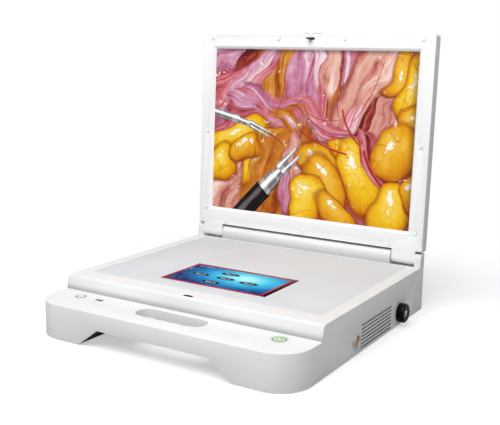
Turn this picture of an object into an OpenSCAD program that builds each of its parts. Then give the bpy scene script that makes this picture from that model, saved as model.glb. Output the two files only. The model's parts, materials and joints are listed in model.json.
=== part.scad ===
// Portable endoscopy unit: a case with a carrying shelf, a touch display in its
// deck, sockets and a vent in its side, and a display lid on a friction hinge.
// Millimetres, +Z up. Built from the front of the shelf (y = 0) and the floor
// (z = 0), then placed with the origin under the middle of the whole part.

/* [Case] */
// Width of the case and of the lid
case_w = 350; // [330:1:400]
// Depth of the case, from the shelf's front to the back
case_d = 358; // [358:1:400]
// Height of the deck above the floor
deck_h = 58.5; // [56:0.5:61]
// Height of the carrying shelf above the floor
shelf_h = 41.5; // [39:0.5:45]
// Depth of the carrying shelf at the foot of the step
shelf_d = 60; // [57:1:60]
// Radius of the step's bulging face
step_r = 43; // [35:1:60]
// Radius of the edge between the step and the deck
step_edge_r = 4; // [2:0.5:5]
// Radius of the two front corners, seen from above
front_corner_r = 38; // [25:1:45]
// Radius of the two back corners, seen from above
back_corner_r = 4; // [3:0.5:8]
// Wall of the white housing
wall = 3; // [2.5:0.1:3.5]

/* [Underside] */
// Height of the channel's ceiling above the floor
channel_h = 22; // [18:0.5:23]
// Width of the channel at its ceiling
channel_top_w = 151.4; // [120:0.2:160]
// Width of the channel at the runners
channel_foot_w = 205.4; // [180:0.2:210]
// Thickness of the folded bottom plate
plate_t = 2; // [1.5:0.1:2.5]
// How far the rubber feet stand out under the runners
foot_proud = 1; // [0.8:0.1:1.5]
// Radius of a rubber foot
foot_r = 8; // [6:0.5:10]

/* [Hand grip] */
// Length of the slot through the shelf
grip_w = 93; // [80:1:110]
// Depth of the slot, front to back
grip_d = 26; // [22:0.5:27]
// Distance from the shelf's front to the slot
grip_front = 24.5; // [20:0.5:26]
// Number of finger scallops along the slot's front edge
finger_count = 4; // [3:1:5]
// Depth of a finger scallop
finger_depth = 1.4; // [0.5:0.1:2]

/* [Deck] */
// Width of the grey deck panel
panel_w = 316; // [300:1:320]
// Distance from the shelf's front to the deck panel
panel_front = 90.5; // [86:0.5:92]
// Depth of the deck panel
panel_d = 247.5; // [235:0.5:248]
// Thickness of the deck panel
panel_t = 1.2; // [0.8:0.1:1.5]
// Width of the touch glass
glass_w = 148; // [140:1:170]
// Depth of the touch glass
glass_d = 84; // [78:1:92]
// Sideways place of the touch glass
glass_x = -0.5; // [-5:0.5:8]
// Distance from the shelf's front to the touch glass
glass_front = 115.5; // [106:0.5:118]
// Thickness of the touch glass
glass_t = 1.6; // [1.1:0.1:2]
// Length of the latch slot in the deck
latch_slot_w = 12; // [11.5:0.5:14]
// Width of the latch slot, front to back
latch_slot_d = 5.4; // [5:0.1:6]

/* [Hinge] */
// Distance from the case's back to the hinge axis
hinge_inset = 6.5; // [6.2:0.1:7.2]
// Height of the hinge axis above the deck
hinge_rise = 9.5; // [9.4:0.1:10.5]
// Length of the hinge barrel on the deck
barrel_w = 264; // [250:1:266]
// Radius of the hinge barrel
barrel_r = 9.5; // [9:0.1:10]
// Radius of the hinge shafts
shaft_r = 3; // [2.5:0.1:3.5]
// Height of the two ears above the deck
ear_h = 17.5; // [12:0.5:18]
// Thickness of an ear
ear_t = 8.7; // [7:0.1:8.7]
// Depth of an ear, front to back
ear_d = 16; // [15:0.5:16]
// How far the lid leans back past upright, in degrees
lean = 2; // [0:1:15]

/* [Lid] */
// Length of the lid from the hinge axis to its top
lid_len = 288; // [283:1:288]
// Thickness of the lid
lid_t = 16; // [15.5:0.1:16]
// Distance from the hinge axis to the lower edge of the lid's body
lid_low = 11; // [10.5:0.1:12]
// Width of one hinge leg of the lid
leg_w = 32.5; // [28:0.5:32.5]
// Radius of the lid's two top corners
lid_corner_r = 4; // [2:0.5:8]
// Wall of the lid's shell
lid_wall = 2.2; // [1.8:0.1:2.5]
// Thickness of the front bezel
bezel_t = 3; // [2.5:0.1:3.5]
// Width of the visible screen
screen_w = 308; // [290:1:308]
// Height of the visible screen
screen_h = 231; // [215:1:232]
// Distance from the lid's top to the visible screen
screen_top = 21.5; // [20:0.5:24]
// Width of the sloping lip round the screen
lip_w = 3.5; // [2:0.1:4]

/* [Latch] */
// How far the release slider travels
latch_travel = 3; // [2:0.1:3]
// Distance from the lid's top to the hook
hook_drop = 6.5; // [6:0.1:7]
// Width of the hook's shank
hook_w = 5; // [4:0.1:5]
// How far the hook reaches out of the bezel
hook_reach = 7.6; // [7.5:0.1:8]

/* [Side] */
// Distance from the shelf's front to the camera socket
camera_y = 144.5; // [140:0.5:146]
// Height of the camera socket above the floor
camera_z = 17.5; // [14:0.5:18]
// Radius of the camera socket's ring
camera_ring_r = 9; // [8:0.1:10]
// Radius of the camera socket's bore
camera_bore_r = 6.2; // [5.8:0.1:7]
// Distance from the shelf's front to the near end of the vent
vent_front = 158; // [156:0.5:160]
// Length of the vent
vent_w = 90; // [80:0.5:90]
// Height of the vent
vent_h = 30; // [26:0.2:31]
// Height of the vent's lower edge above the floor
vent_low = 3.4; // [3.2:0.1:4.5]
// Number of rows of slots in the vent
vent_rows = 7; // [5:1:8]
// Number of slots in a row of the vent
vent_slots = 16; // [10:1:18]
// Distance from the shelf's front to the light port
port_y = 274; // [264:0.5:276]
// Height of the light port above the floor
port_z = 17; // [15:0.5:18]
// Radius of the light port
port_r = 12; // [11:0.1:12.5]
// How far the light port stands out of the side
port_proud = 9.5; // [6:0.5:10]
// Radius of the light port's bore
port_bore_r = 4.5; // [3.5:0.1:5.5]

/* [Controls] */
// Distance of the power button from the middle
power_x = 134; // [128:0.5:140]
// Distance of the menu button from the middle
menu_x = 137; // [130:0.5:140]
// Distance from the shelf's front to the buttons
button_y = 43; // [40:0.5:44]
// Outer radius of the power button's ring
power_ring_r = 8.2; // [7:0.1:9]
// Outer radius of the menu button's ring
menu_ring_r = 6.4; // [5.5:0.1:7]
// Travel of a button
button_travel = 1; // [0.5:0.1:1]
// Distance of the indicator window from the middle
window_x = 108.5; // [105:0.5:112]
// Width of the indicator window
window_w = 11; // [8:0.5:14]
// Depth of the indicator window, front to back
window_d = 5; // [4:0.1:6]

/* [Hidden] */
$fn = 64;
// How far a cut runs past the face it opens
over = 1;
// Clearance between pieces that stay put
fit = 0.2;
// Clearance between pieces that move past each other
run = 0.3;
// Radial clearance of a shaft in its bore
shaft_fit = 0.05;

// Levels and planes of the case
base_z = foot_proud;
plate_top = base_z + plate_t;
ceiling_top = channel_h + plate_t;
roof = wall;
deck_under = deck_h - roof;
shelf_under = shelf_h - roof;
side_x = case_w / 2;
inner_x = side_x - wall;
step_rise = deck_h - shelf_h;
// Centre of the step's face, of its edge and the point where they meet
step_c = [shelf_d + step_r, shelf_h];
edge_dz = step_rise - step_edge_r;
edge_dy = sqrt(pow(step_r - step_edge_r, 2) - pow(edge_dz, 2));
edge_c = step_c + [-edge_dy, edge_dz];
edge_a = 180 - atan2(edge_dz, edge_dy);
deck_front = edge_c[0];

// Hinge axis and the lid's planes about it
hinge_y = case_d - hinge_inset;
hinge_z = deck_h + hinge_rise;
lid_front = -lid_t / 2;
lid_back = lid_t / 2;
bezel_back = lid_front + bezel_t;
leg_out = side_x - ear_t - run;
leg_in = leg_out - leg_w;
lid_back_y = hinge_y + lid_len * sin(lean) + lid_back * cos(lean);
// Middle of the whole part's box
mid_x = port_proud / 2;
mid_y = lid_back_y / 2;

// Colours
white = [0.95, 0.95, 0.95];
grey = [0.86, 0.86, 0.86];
dark = [0.22, 0.22, 0.24];
black = [0.05, 0.05, 0.05];
steel = [0.68, 0.69, 0.71];
brass = [0.72, 0.56, 0.24];
board_green = [0.10, 0.36, 0.22];
screen_black = [0.04, 0.05, 0.07];
lamp_green = [0.35, 0.75, 0.35];
window_dark = [0.18, 0.18, 0.19];

// Helpers

function arc(c, r, a0, a1, n) =
    [for (i = [0:n]) let (a = a0 + (a1 - a0) * i / n) c + r * [cos(a), sin(a)]];

// Places the part so that its origin lies under the middle of its box
module placed() translate([-mid_x, -mid_y, 0]) children();

// Puts a piece drawn upright about the hinge axis onto the leaning lid
module on_lid() translate([0, hinge_y, hinge_z]) rotate([-lean, 0, 0]) children();

// Extrudes a side view, drawn in y and z, from x0 to x1
module along_x(x0, x1) translate([x0, 0, 0]) rotate([90, 0, 90]) linear_extrude(x1 - x0) children();

// Extrudes a front view, drawn in x and z, from y0 to y1
module along_y(y0, y1) translate([0, y1, 0]) rotate([90, 0, 0]) linear_extrude(y1 - y0) children();

// Extrudes a top view from z0 to z1
module along_z(z0, z1) translate([0, 0, z0]) linear_extrude(z1 - z0) children();

// Box between two corners
module block(a, b) translate(a) cube(b - a);

// A round bar along x, y or z between two places
module bar_x(x0, x1, r) along_x(x0, x1) circle(r);
module bar_y(y0, y1, r) along_y(y0, y1) circle(r);

// Rectangle with round corners, centred
module round_rect(w, d, r) {
    square([w - 2 * r, d], center = true);
    square([w, d - 2 * r], center = true);
    for (x = [-1, 1], y = [-1, 1]) translate([x * (w / 2 - r), y * (d / 2 - r)]) circle(r);
}

// Outline of the case from above, drawn in by an inset
module plan(inset) {
    rf = front_corner_r - inset;
    rb = back_corner_r - min(inset, back_corner_r / 2);
    w = side_x - inset;
    y0 = inset;
    y1 = case_d - inset;
    polygon(concat(arc([-w + rf, y0 + rf], rf, 180, 270, 16), arc([w - rf, y0 + rf], rf, 270, 360, 16),
                   arc([w - rb, y1 - rb], rb, 0, 90, 5), arc([-w + rb, y1 - rb], rb, 90, 180, 5)));
}

// Section of the channel under the case, with its sides drawn in by a share of the plate
module channel(lift) {
    run_x = (channel_foot_w - channel_top_w) / 2;
    rise = channel_h - base_z;
    slope = run_x / rise;
    side = lift * (sqrt(1 + slope * slope) - slope);
    top = channel_top_w / 2 + side;
    z1 = channel_h + lift;
    z0 = base_z - over;
    foot = top + slope * (z1 - z0);
    polygon([[-foot, z0], [-top, z1], [top, z1], [foot, z0]]);
}

// Housing

// Side view of the case: shelf, bulging step and deck
module side_profile() {
    polygon(concat([[0, base_z], [0, shelf_h]],
                   [for (p = arc(step_c, step_r, 180, edge_a, 10)) p],
                   [for (p = arc(edge_c, step_edge_r, edge_a, 90, 8)) p],
                   [[case_d, deck_h], [case_d, base_z]]));
}

// Side view of the room inside the case
module void_profile() {
    back = case_d - wall;
    polygon([[wall, base_z - over], [wall, shelf_under], [deck_front, shelf_under],
             [deck_front, deck_under], [back, deck_under], [back, base_z - over]]);
}

// Slot of the hand grip, with finger scallops along its front edge
module grip_outline(grow) {
    r = grip_d / 2 + grow;
    half = grip_w / 2 - grip_d / 2;
    y_mid = grip_front + grip_d / 2;
    n = finger_count * 10;
    front = [for (i = [1:n - 1]) let (t = i / n)
             [-half + 2 * half * t, y_mid - r - finger_depth * (0.5 - 0.5 * cos(360 * finger_count * t))]];
    polygon(concat(arc([-half, y_mid], r, 90, 270, 16), front, arc([half, y_mid], r, -90, 90, 16)));
}

// Screw places under the case: sideways and front to back
boss_r = 4;
boss_edge = 7;
boss_front = 64;
boss_middle = 104.5;
boss_back = 36;
boss_x = inner_x - boss_edge;
boss_rows = [boss_front, boss_middle, case_d - boss_back];
pilot_r = 1.3;
pilot_depth = 14;
// Pocket under a lid leg
pocket_drop = 3;
pocket_gap = 1;
pocket_y = hinge_y - lid_t / 2 - pocket_gap;
// Ear
ear_y = case_d - ear_d;
ear_round = 6;
// Recess for the glass, and the window under it
glass_back = glass_front + glass_d;
glass_lip = 4;
// Panel and glass lie a little under the deck
panel_drop = 0.2;
// Rear panel
rear_w = 196;
rear_gap_low = 3;
rear_gap_high = 2;
rear_low = ceiling_top + rear_gap_low;
rear_high = deck_under - rear_gap_high;
rear_x = -10;
// Light port behind the wall
port_flange_t = 2.5;
port_lip = 2.5;
port_neck_r = port_r - port_lip;

// Ears that stand on the deck outside the lid's legs
module hinge_ears() {
    y_c = ear_y + ear_round;
    z_c = deck_h + ear_h - ear_round;
    y_e = case_d - ear_round / 2;
    z_e = deck_h + ear_h - ear_round / 2;
    color(white) placed() intersection() {
        for (x = [-side_x, side_x - ear_t]) along_x(x, x + ear_t)
            polygon(concat([[ear_y, deck_h], [ear_y, z_c]], arc([y_c, z_c], ear_round, 180, 90, 8),
                           arc([y_e, z_e], ear_round / 2, 90, 0, 6), [[case_d, deck_h]]));
        along_z(deck_h, deck_h + ear_h) plan(0);
    }
}

module housing_body() {
    difference() {
        intersection() {
            along_x(-side_x, side_x) side_profile();
            along_z(base_z, deck_h) plan(0);
        }
        difference() {
            intersection() {
                along_x(-inner_x, inner_x) void_profile();
                along_z(base_z - over, deck_h) plan(wall);
            }
            // Ledges that carry the two leg pockets
            for (s = [-1, 1])
                block([s > 0 ? leg_in - wall : -inner_x - over, pocket_y - wall, deck_under - pocket_drop],
                      [s > 0 ? inner_x + over : -leg_in + wall, case_d, deck_h]);
            // Walls of the hand grip
            along_z(ceiling_top, shelf_h) grip_outline(wall);
            // Screw bosses
            for (s = [-1, 1], y = boss_rows)
                translate([s * boss_x, y, plate_top]) cylinder(h = deck_h - plate_top, r = boss_r);
        }
    }
}

module housing() {
    color(white) placed() difference() {
        housing_body();
        // Channel through the front and the back wall
        along_y(-over, case_d + over) channel(0);
        along_y(wall, case_d - wall) channel(plate_t + fit);
        // Hand grip
        along_z(base_z - over, shelf_h + over) grip_outline(0);
        // Pockets under the lid's legs
        for (s = [-1, 1])
            block([s > 0 ? leg_in - pocket_gap : -leg_out - run, pocket_y, deck_h - pocket_drop],
                  [s > 0 ? leg_out + run : -leg_in + pocket_gap, case_d + over, deck_h + over]);
        // Recess for the deck panel
        block([-panel_w / 2 - fit, panel_front - fit, deck_h - panel_drop - panel_t],
              [panel_w / 2 + fit, panel_front + panel_d + fit, deck_h + over]);
        // Recess for the touch glass, and the window for its display
        block([glass_x - glass_w / 2 - fit, glass_front - fit, deck_h - panel_drop - glass_t],
              [glass_x + glass_w / 2 + fit, glass_back + fit, deck_h + over]);
        block([glass_x - glass_w / 2 + glass_lip, glass_front + glass_lip, deck_under - over],
              [glass_x + glass_w / 2 - glass_lip, glass_back - glass_lip, deck_h + over]);
        // Latch slot
        block([-latch_slot_w / 2, latch_y - latch_slot_d / 2, deck_under - over],
              [latch_slot_w / 2, latch_y + latch_slot_d / 2, deck_h + over]);
        // Cable way under the hinge barrel
        translate([0, hinge_y, deck_under - over]) cylinder(h = roof + 2 * over, r = cable_r);
        // Seats of the buttons and of the indicator window
        translate([power_x, button_y, shelf_under - over])
            cylinder(h = roof + 2 * over, r = power_ring_r + fit);
        translate([-menu_x, button_y, shelf_under - over])
            cylinder(h = roof + 2 * over, r = menu_ring_r + fit);
        block([-window_x - window_w / 2 - fit, button_y - window_d / 2 - fit, shelf_under - over],
              [-window_x + window_w / 2 + fit, button_y + window_d / 2 + fit, shelf_h + over]);
        // Side openings
        block([inner_x - over, vent_front - fit, vent_low - fit],
              [side_x + over, vent_front + vent_w + fit, vent_low + vent_h + fit]);
        translate([0, camera_y, camera_z]) bar_x(inner_x - over, side_x + over, camera_neck_r + fit);
        translate([0, port_y, port_z]) bar_x(inner_x - over, side_x + over, port_neck_r + fit);
        // Rear opening
        block([rear_x - rear_w / 2 - fit, case_d - wall - over, rear_low - fit],
              [rear_x + rear_w / 2 + fit, case_d + over, rear_high + fit]);
        // Pilot holes
        for (s = [-1, 1], y = boss_rows)
            translate([s * boss_x, y, plate_top - over]) cylinder(h = pilot_depth + over, r = pilot_r);
    }
}

// Place of the latch slot: where the hook meets the deck as the lid closes
latch_y = hinge_y - lid_len + hook_drop;
cable_r = 6;
camera_lip = 1.4;
camera_neck_r = camera_ring_r - camera_lip;

// Underside

plate_gap = 0.3;
foot_seat = 1.2;
foot_edge = 22;
foot_front = 42;
foot_places = [[side_x - foot_edge, foot_front], [side_x - foot_edge, case_d - foot_edge]];
screw_head_r = 2.8;
screw_head_t = 1.2;
screw_r = 1.25;

module bottom_plate() {
    color(dark) placed() difference() {
        intersection() {
            along_z(base_z, ceiling_top) plan(wall + plate_gap);
            along_y(wall, case_d - wall) difference() {
                union() {
                    translate([-inner_x, base_z]) square([2 * inner_x, plate_t]);
                    channel(plate_t);
                }
                channel(0);
            }
        }
        along_z(channel_h - over, ceiling_top + over) grip_outline(fit);
        for (s = [-1, 1], p = foot_places)
            translate([s * p[0], p[1], base_z - over]) cylinder(h = over + foot_seat, r = foot_r + fit);
        for (s = [-1, 1], y = boss_rows) translate([s * boss_x, y, 0]) {
            cylinder(h = plate_top + over, r = pilot_r);
            cylinder(h = base_z + screw_head_t + fit, r = screw_head_r + fit);
        }
        // Air slots in the runner in front of the power supply
        for (i = [0:intake_count - 1])
            block([-intake_x - intake_w / 2, intake_y + i * intake_pitch, base_z - over],
                  [-intake_x + intake_w / 2, intake_y + i * intake_pitch + intake_slot, plate_top + over]);
    }
}

intake_count = 6;
intake_x = 140;
intake_w = 36;
intake_y = 112;
intake_pitch = 8;
intake_slot = 3;

module rubber_feet() {
    chamfer = foot_proud / 2;
    color(dark) placed() for (s = [-1, 1], p = foot_places)
        translate([s * p[0], p[1], 0])
            rotate_extrude() polygon([[0, 0], [foot_r - chamfer, 0], [foot_r, chamfer],
                                      [foot_r, base_z + foot_seat], [0, base_z + foot_seat]]);
}

module case_screws() {
    color(steel) placed() for (s = [-1, 1], y = boss_rows) translate([s * boss_x, y, base_z + fit]) {
        cylinder(h = screw_head_t, r = screw_head_r);
        cylinder(h = pilot_depth - over, r = screw_r);
    }
}

// Deck

module deck_panel() {
    z1 = deck_h - panel_drop;
    color(grey) placed() difference() {
        along_z(z1 - panel_t, z1)
            translate([0, panel_front + panel_d / 2]) square([panel_w, panel_d], center = true);
        along_z(z1 - panel_t - over, z1 + over) translate([glass_x, glass_front + glass_d / 2])
            square([glass_w + 2 * fit, glass_d + 2 * fit], center = true);
    }
}

module touch_glass() {
    z1 = deck_h - panel_drop;
    color(screen_black) placed() along_z(z1 - glass_t, z1) translate([glass_x, glass_front + glass_d / 2])
        square([glass_w, glass_d], center = true);
}

touch_module_t = 6;
module touch_display() {
    z1 = deck_h - panel_drop - glass_t;
    z0 = z1 - touch_module_t;
    rim = glass_lip + fit;
    tab = 3;
    color(steel) placed() {
        block([glass_x - glass_w / 2 + rim, glass_front + rim, z0],
              [glass_x + glass_w / 2 - rim, glass_back - rim, z1]);
        // Tabs that screw up against the housing
        for (sx = [-1, 1], sy = [-1, 1])
            translate([glass_x + sx * (glass_w / 2 - rim), glass_front + glass_d / 2 + sy * glass_d / 4, z0])
                along_z(0, deck_under - z0) round_rect(4 * tab, 2 * tab, tab / 2);
    }
}

// Hinge

barrel_wall = 2.5;
sleeve_w = 22;
sleeve_r = barrel_r - barrel_wall - fit;
module barrel_section(r, low) {
    difference() {
        union() {
            translate([hinge_y, hinge_z]) circle(r);
            translate([hinge_y - r, low]) square([2 * r, hinge_z - low]);
        }
        translate([case_d - (barrel_r - r), low - over]) square([2 * barrel_r, 2 * barrel_r + over]);
    }
}

module barrel_cover() {
    half = barrel_w / 2;
    color(white) placed() difference() {
        along_x(-half, half) barrel_section(barrel_r, deck_h);
        along_x(-half + barrel_wall, half - barrel_wall)
            barrel_section(barrel_r - barrel_wall, deck_h - over);
        for (x = [-half - over, half - barrel_wall - over])
            translate([x, hinge_y, hinge_z]) bar_x(0, barrel_wall + 2 * over, shaft_r + run);
    }
}

module hinge_sleeves() {
    out = barrel_w / 2 - barrel_wall - fit;
    color(steel) placed() for (s = [-1, 1]) difference() {
        translate([s > 0 ? out - sleeve_w : -out, 0, 0])
            along_x(0, sleeve_w) barrel_section(sleeve_r, deck_h);
        translate([0, hinge_y, hinge_z]) bar_x(-side_x, side_x, shaft_r + shaft_fit);
    }
}

keeper_t = 1;
keeper_rim = 6;
keeper_lip = 0.8;
module latch_keeper() {
    // The plate's edge on the left reaches under the slot, and the hook's barb goes behind it
    color(steel) placed() difference() {
        block([-latch_slot_w / 2 - keeper_rim, latch_y - latch_slot_d / 2 - keeper_lip,
               deck_under - keeper_t],
              [latch_slot_w / 2 + keeper_rim, latch_y + latch_slot_d / 2 + keeper_rim, deck_under]);
        block([-hook_w / 2 - run - fit, latch_y - latch_slot_d / 2, deck_under - keeper_t - over],
              [latch_slot_w / 2, latch_y + latch_slot_d / 2, deck_under + over]);
    }
}

// Side sockets and vent

vent_t = 1;
vent_rim = 1.2;
vent_slot_h = 1.7;
vent_slot_share = 0.84;
module side_vent() {
    row_pitch = (vent_h - 2 * vent_rim - vent_slot_h) / (vent_rows - 1);
    slot_pitch = (vent_w - 2 * vent_rim) / vent_slots;
    slot_w = slot_pitch * vent_slot_share;
    y0 = vent_front + vent_rim + (slot_pitch - slot_w) / 2;
    z0 = vent_low + vent_rim;
    color(white) placed() along_x(side_x - vent_t, side_x) difference() {
        translate([vent_front, vent_low]) square([vent_w, vent_h]);
        for (i = [0:vent_slots - 1], j = [0:vent_rows - 1])
            translate([y0 + i * slot_pitch, z0 + j * row_pitch]) square([slot_w, vent_slot_h]);
    }
}

camera_flange = 2;
camera_body = 14;
camera_depth = 6;
insert_t = 3;
insert_lip = 0.9;
insert_r = camera_bore_r - insert_lip;
// Core that stands in the socket's bore and carries the contacts
core_r = 4.1;
core_len = 4.6;
module camera_socket_ring() {
    color(steel) placed() translate([0, camera_y, camera_z]) difference() {
        union() {
            bar_x(side_x, side_x + camera_flange, camera_ring_r);
            bar_x(side_x - camera_body, side_x + camera_flange, camera_neck_r);
            // Nut behind the wall
            bar_x(inner_x - 2 * port_flange_t, inner_x, camera_ring_r);
        }
        bar_x(side_x + camera_flange - camera_depth, side_x + camera_flange + over, camera_bore_r);
        bar_x(side_x + camera_flange - camera_depth - insert_t, side_x + camera_flange, insert_r + shaft_fit);
    }
}

contact_count = 8;
contact_r = 0.5;
module camera_socket_insert() {
    x1 = side_x + camera_flange - camera_depth;
    ring_share = 0.62;
    color(brass) placed() translate([0, camera_y, camera_z]) {
        difference() {
            union() {
                bar_x(x1 - insert_t, x1, insert_r);
                bar_x(x1 - insert_t, x1 + core_len, core_r);
            }
            for (i = [0:contact_count - 1]) rotate([360 * i / contact_count, 0, 0])
                translate([0, core_r * ring_share, 0])
                    bar_x(x1 + core_len - insert_t / 2, x1 + core_len + over, contact_r);
        }
    }
}

port_depth = 16;
port_chamfer = 1.6;
bush_t = 1;
port_seat_r = port_bore_r + bush_t + shaft_fit;
module light_port() {
    x0 = side_x - port_depth;
    x1 = side_x + port_proud;
    color(black) placed() translate([0, port_y, port_z]) rotate([0, 90, 0]) rotate_extrude()
        polygon([[port_seat_r, x0], [port_neck_r, x0], [port_neck_r, inner_x - port_flange_t],
                 [port_r, inner_x - port_flange_t], [port_r, inner_x], [port_neck_r, inner_x],
                 [port_neck_r, side_x], [port_r, side_x], [port_r, x1 - port_chamfer],
                 [port_r - port_chamfer, x1], [port_seat_r, x1]]);
}

bush_set = 1;
module light_port_bush() {
    x0 = side_x - port_depth;
    x1 = side_x + port_proud - bush_set;
    color(steel) placed() translate([0, port_y, port_z]) difference() {
        bar_x(x0, x1, port_bore_r + bush_t);
        bar_x(x0 + port_rod, x1 + over, port_bore_r);
    }
}
// Length of the bush's closed end, which holds the lamp's glass
port_rod = 4;

// Inner pieces

engine = [30, 34, 26];
engine_x = side_x - port_depth - engine[0];
module light_engine() {
    rib = 2;
    // Lamp block with a screw flange along each side
    color(dark) placed() translate([engine_x, port_y - engine[1] / 2, plate_top]) {
        cube(engine);
        translate([rib, -2 * rib, 0]) cube([engine[0] - 2 * rib, engine[1] + 4 * rib, rib]);
    }
}

fin_count = 10;
fin_t = 1.5;
sink = [44, 46, 24.5];
sink_base = 4;
module heat_sink() {
    z0 = plate_top + engine[2];
    pitch = (sink[1] - fin_t) / (fin_count - 1);
    color(steel) placed() translate([engine_x + engine[0] - sink[0], port_y - sink[1] / 2, z0]) {
        cube([sink[0], sink[1], sink_base]);
        for (i = [0:fin_count - 1]) translate([0, i * pitch, 0]) cube([sink[0], fin_t, sink[2]]);
    }
}

fan_size = 40;
fan_t = 12;
fan_y = vent_front + vent_w / 2;
fan_z = plate_top + fan_size / 2;
fan_pin_r = 1.5;
fan_hub_r = 9;
fan_wall = 1.5;
fan_x = inner_x - fan_t;
module fan_frame() {
    opening = fan_size / 2 - fan_wall;
    strut = 3;
    color(dark) placed() translate([0, fan_y, fan_z]) {
        difference() {
            along_x(fan_x, inner_x) square(fan_size, center = true);
            bar_x(fan_x - over, inner_x + over, opening);
        }
        // Motor seat on its struts, and the pin that carries the rotor
        for (a = [0, 90]) rotate([a, 0, 0])
            along_x(fan_x, fan_x + fan_wall) square([2 * opening + over, strut], center = true);
        bar_x(fan_x, fan_x + fan_wall, fan_hub_r);
        bar_x(fan_x, inner_x - 2 * fan_wall, fan_pin_r);
    }
}

blade_count = 7;
blade_t = 1.2;
blade_pitch = 35;
module fan_rotor() {
    x0 = fan_x + fan_wall + run;
    x1 = inner_x - fan_wall;
    tip = fan_size / 2 - fan_wall - 2 * run;
    color(black) placed() translate([0, fan_y, fan_z]) difference() {
        union() {
            bar_x(x0, x1, fan_hub_r);
            intersection() {
                bar_x(x0, x1, tip);
                for (i = [0:blade_count - 1]) rotate([360 * i / blade_count, 0, 0])
                    translate([(x0 + x1) / 2, (fan_hub_r + tip) / 2, 0]) rotate([0, blade_pitch, 0])
                        cube([fan_t, tip - fan_hub_r + 2 * over, blade_t], center = true);
            }
        }
        bar_x(x0 - over, x1 + over, fan_pin_r + shaft_fit);
    }
}

standoff_h = 4;
standoff_r = 2.5;
pcb_t = 1.6;
board = [190, 130];
board_x = -20;
board_y = 112;
chip = [26, 26, 2];
chip_count = 4;
socket = [16, 24, 12];
socket_count = 5;
cap_r = 5;
cap_count = 6;
module main_board() {
    z0 = ceiling_top + standoff_h;
    color(board_green) placed() translate([board_x - board[0] / 2, board_y, z0]) {
        difference() {
            cube([board[0], board[1], pcb_t]);
            for (p = standoff_places)
                translate([p[0], p[1], -over]) cylinder(h = pcb_t + 2 * over, r = pilot_r);
        }
        // Chips, tall connectors and capacitors, each in an even row
        for (i = [1:chip_count])
            translate([board[0] * i / (chip_count + 1) - chip[0] / 2, (board[1] - chip[1]) / 2, pcb_t])
                cube(chip);
        for (i = [1:socket_count])
            translate([board[0] * i / (socket_count + 1) - socket[0] / 2,
                       board[1] - socket[1] - cap_r, pcb_t])
                cube(socket);
        for (i = [1:cap_count])
            translate([board[0] * i / (cap_count + 1), 3 * cap_r, pcb_t]) cylinder(h = 2 * cap_r, r = cap_r);
    }
}
standoff_edge = 6;
standoff_places = [for (x = [standoff_edge, board[0] - standoff_edge],
                        y = [standoff_edge, board[1] - standoff_edge]) [x, y]];
module board_standoffs() {
    color(brass) placed() translate([board_x - board[0] / 2, board_y, ceiling_top])
        for (p = standoff_places) translate([p[0], p[1], 0]) cylinder(h = standoff_h, r = standoff_r);
}

cam_board = [42, 36];
header_len = 8;
module camera_board() {
    header_x = side_x - camera_body - fit;
    x0 = header_x - header_len / 2 - cam_board[0];
    lift = 4;
    color(board_green) placed() translate([x0, camera_y - cam_board[1] / 2, plate_top]) {
        translate([0, 0, lift]) cube([cam_board[0], cam_board[1], pcb_t]);
        for (x = [standoff_r, cam_board[0] - standoff_r], y = [standoff_r, cam_board[1] - standoff_r])
            translate([x, y, 0]) cylinder(h = lift + over, r = standoff_r);
        // Plug-in header towards the socket
        translate([cam_board[0] - header_len / 2, cam_board[1] / 4, lift + pcb_t])
            cube([header_len, cam_board[1] / 2, header_len]);
    }
}

supply = [50, 150, 38];
// Distance from the power supply to the boss behind it
supply_back = 10;
supply_y = case_d - boss_back - supply_back - supply[1];
supply_gap = 4;
can_r = 9;
can_count = 3;
can_pitch = 21;
can_h = 30;
core = [38, 30, 26];
core_y = 76;
terminal = [38, 12, 19];
terminal_y = 128;
module power_supply() {
    x0 = -inner_x + supply_gap;
    lip = 1.5;
    color(steel) placed() translate([x0, supply_y, plate_top]) {
        difference() {
            cube(supply);
            translate([lip, lip, lip]) cube([supply[0] - 2 * lip, supply[1] - 2 * lip, supply[2]]);
        }
        // Transformer, capacitors and terminal block
        translate([(supply[0] - core[0]) / 2, core_y, lip / 2]) cube(core);
        for (i = [0:can_count - 1])
            translate([supply[0] / 2, can_r + 2 * lip + i * can_pitch, lip / 2])
                cylinder(h = can_h, r = can_r);
        translate([(supply[0] - terminal[0]) / 2, terminal_y, lip / 2]) cube(terminal);
    }
}

// Buttons

button_gap = 0.3;
ring_w = 1.3;
ring_flange = 1.8;
ring_flange_t = 1.2;
cap_proud = 0.3;
switch_w = 7;
switch_h = 3.4;
cap_flange_t = 1;
switch_top = shelf_under - ring_flange_t - fit - cap_flange_t - button_travel - fit;
plunger_r = 1.5;
button_board_w = 30;
module button_board(x) {
    z1 = switch_top - switch_h;
    post = (button_board_w - switch_w) / 2;
    translate([x, button_y, 0]) {
        difference() {
            union() {
                along_z(z1 - pcb_t, z1) square([button_board_w, button_board_w / 2], center = true);
                along_z(z1, switch_top) square(switch_w, center = true);
                for (s = [-1, 1])
                    translate([s * post, 0, z1 - over]) cylinder(h = shelf_under - z1 + over, r = pilot_r);
            }
            translate([0, 0, z1]) cylinder(h = switch_h + over, r = plunger_r + shaft_fit);
        }
    }
}

module button_boards() {
    color(board_green) placed() {
        button_board(power_x);
        button_board(-menu_x);
    }
}

// Ring that frames a button, clipped in from below
module ring(x, r) {
    translate([x, button_y, 0]) difference() {
        union() {
            along_z(shelf_under, shelf_h + cap_proud / 2) circle(r);
            along_z(shelf_under - ring_flange_t, shelf_under) circle(r + ring_flange);
        }
        along_z(shelf_under - ring_flange_t - over, shelf_h + over) circle(r - ring_w);
    }
}

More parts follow.
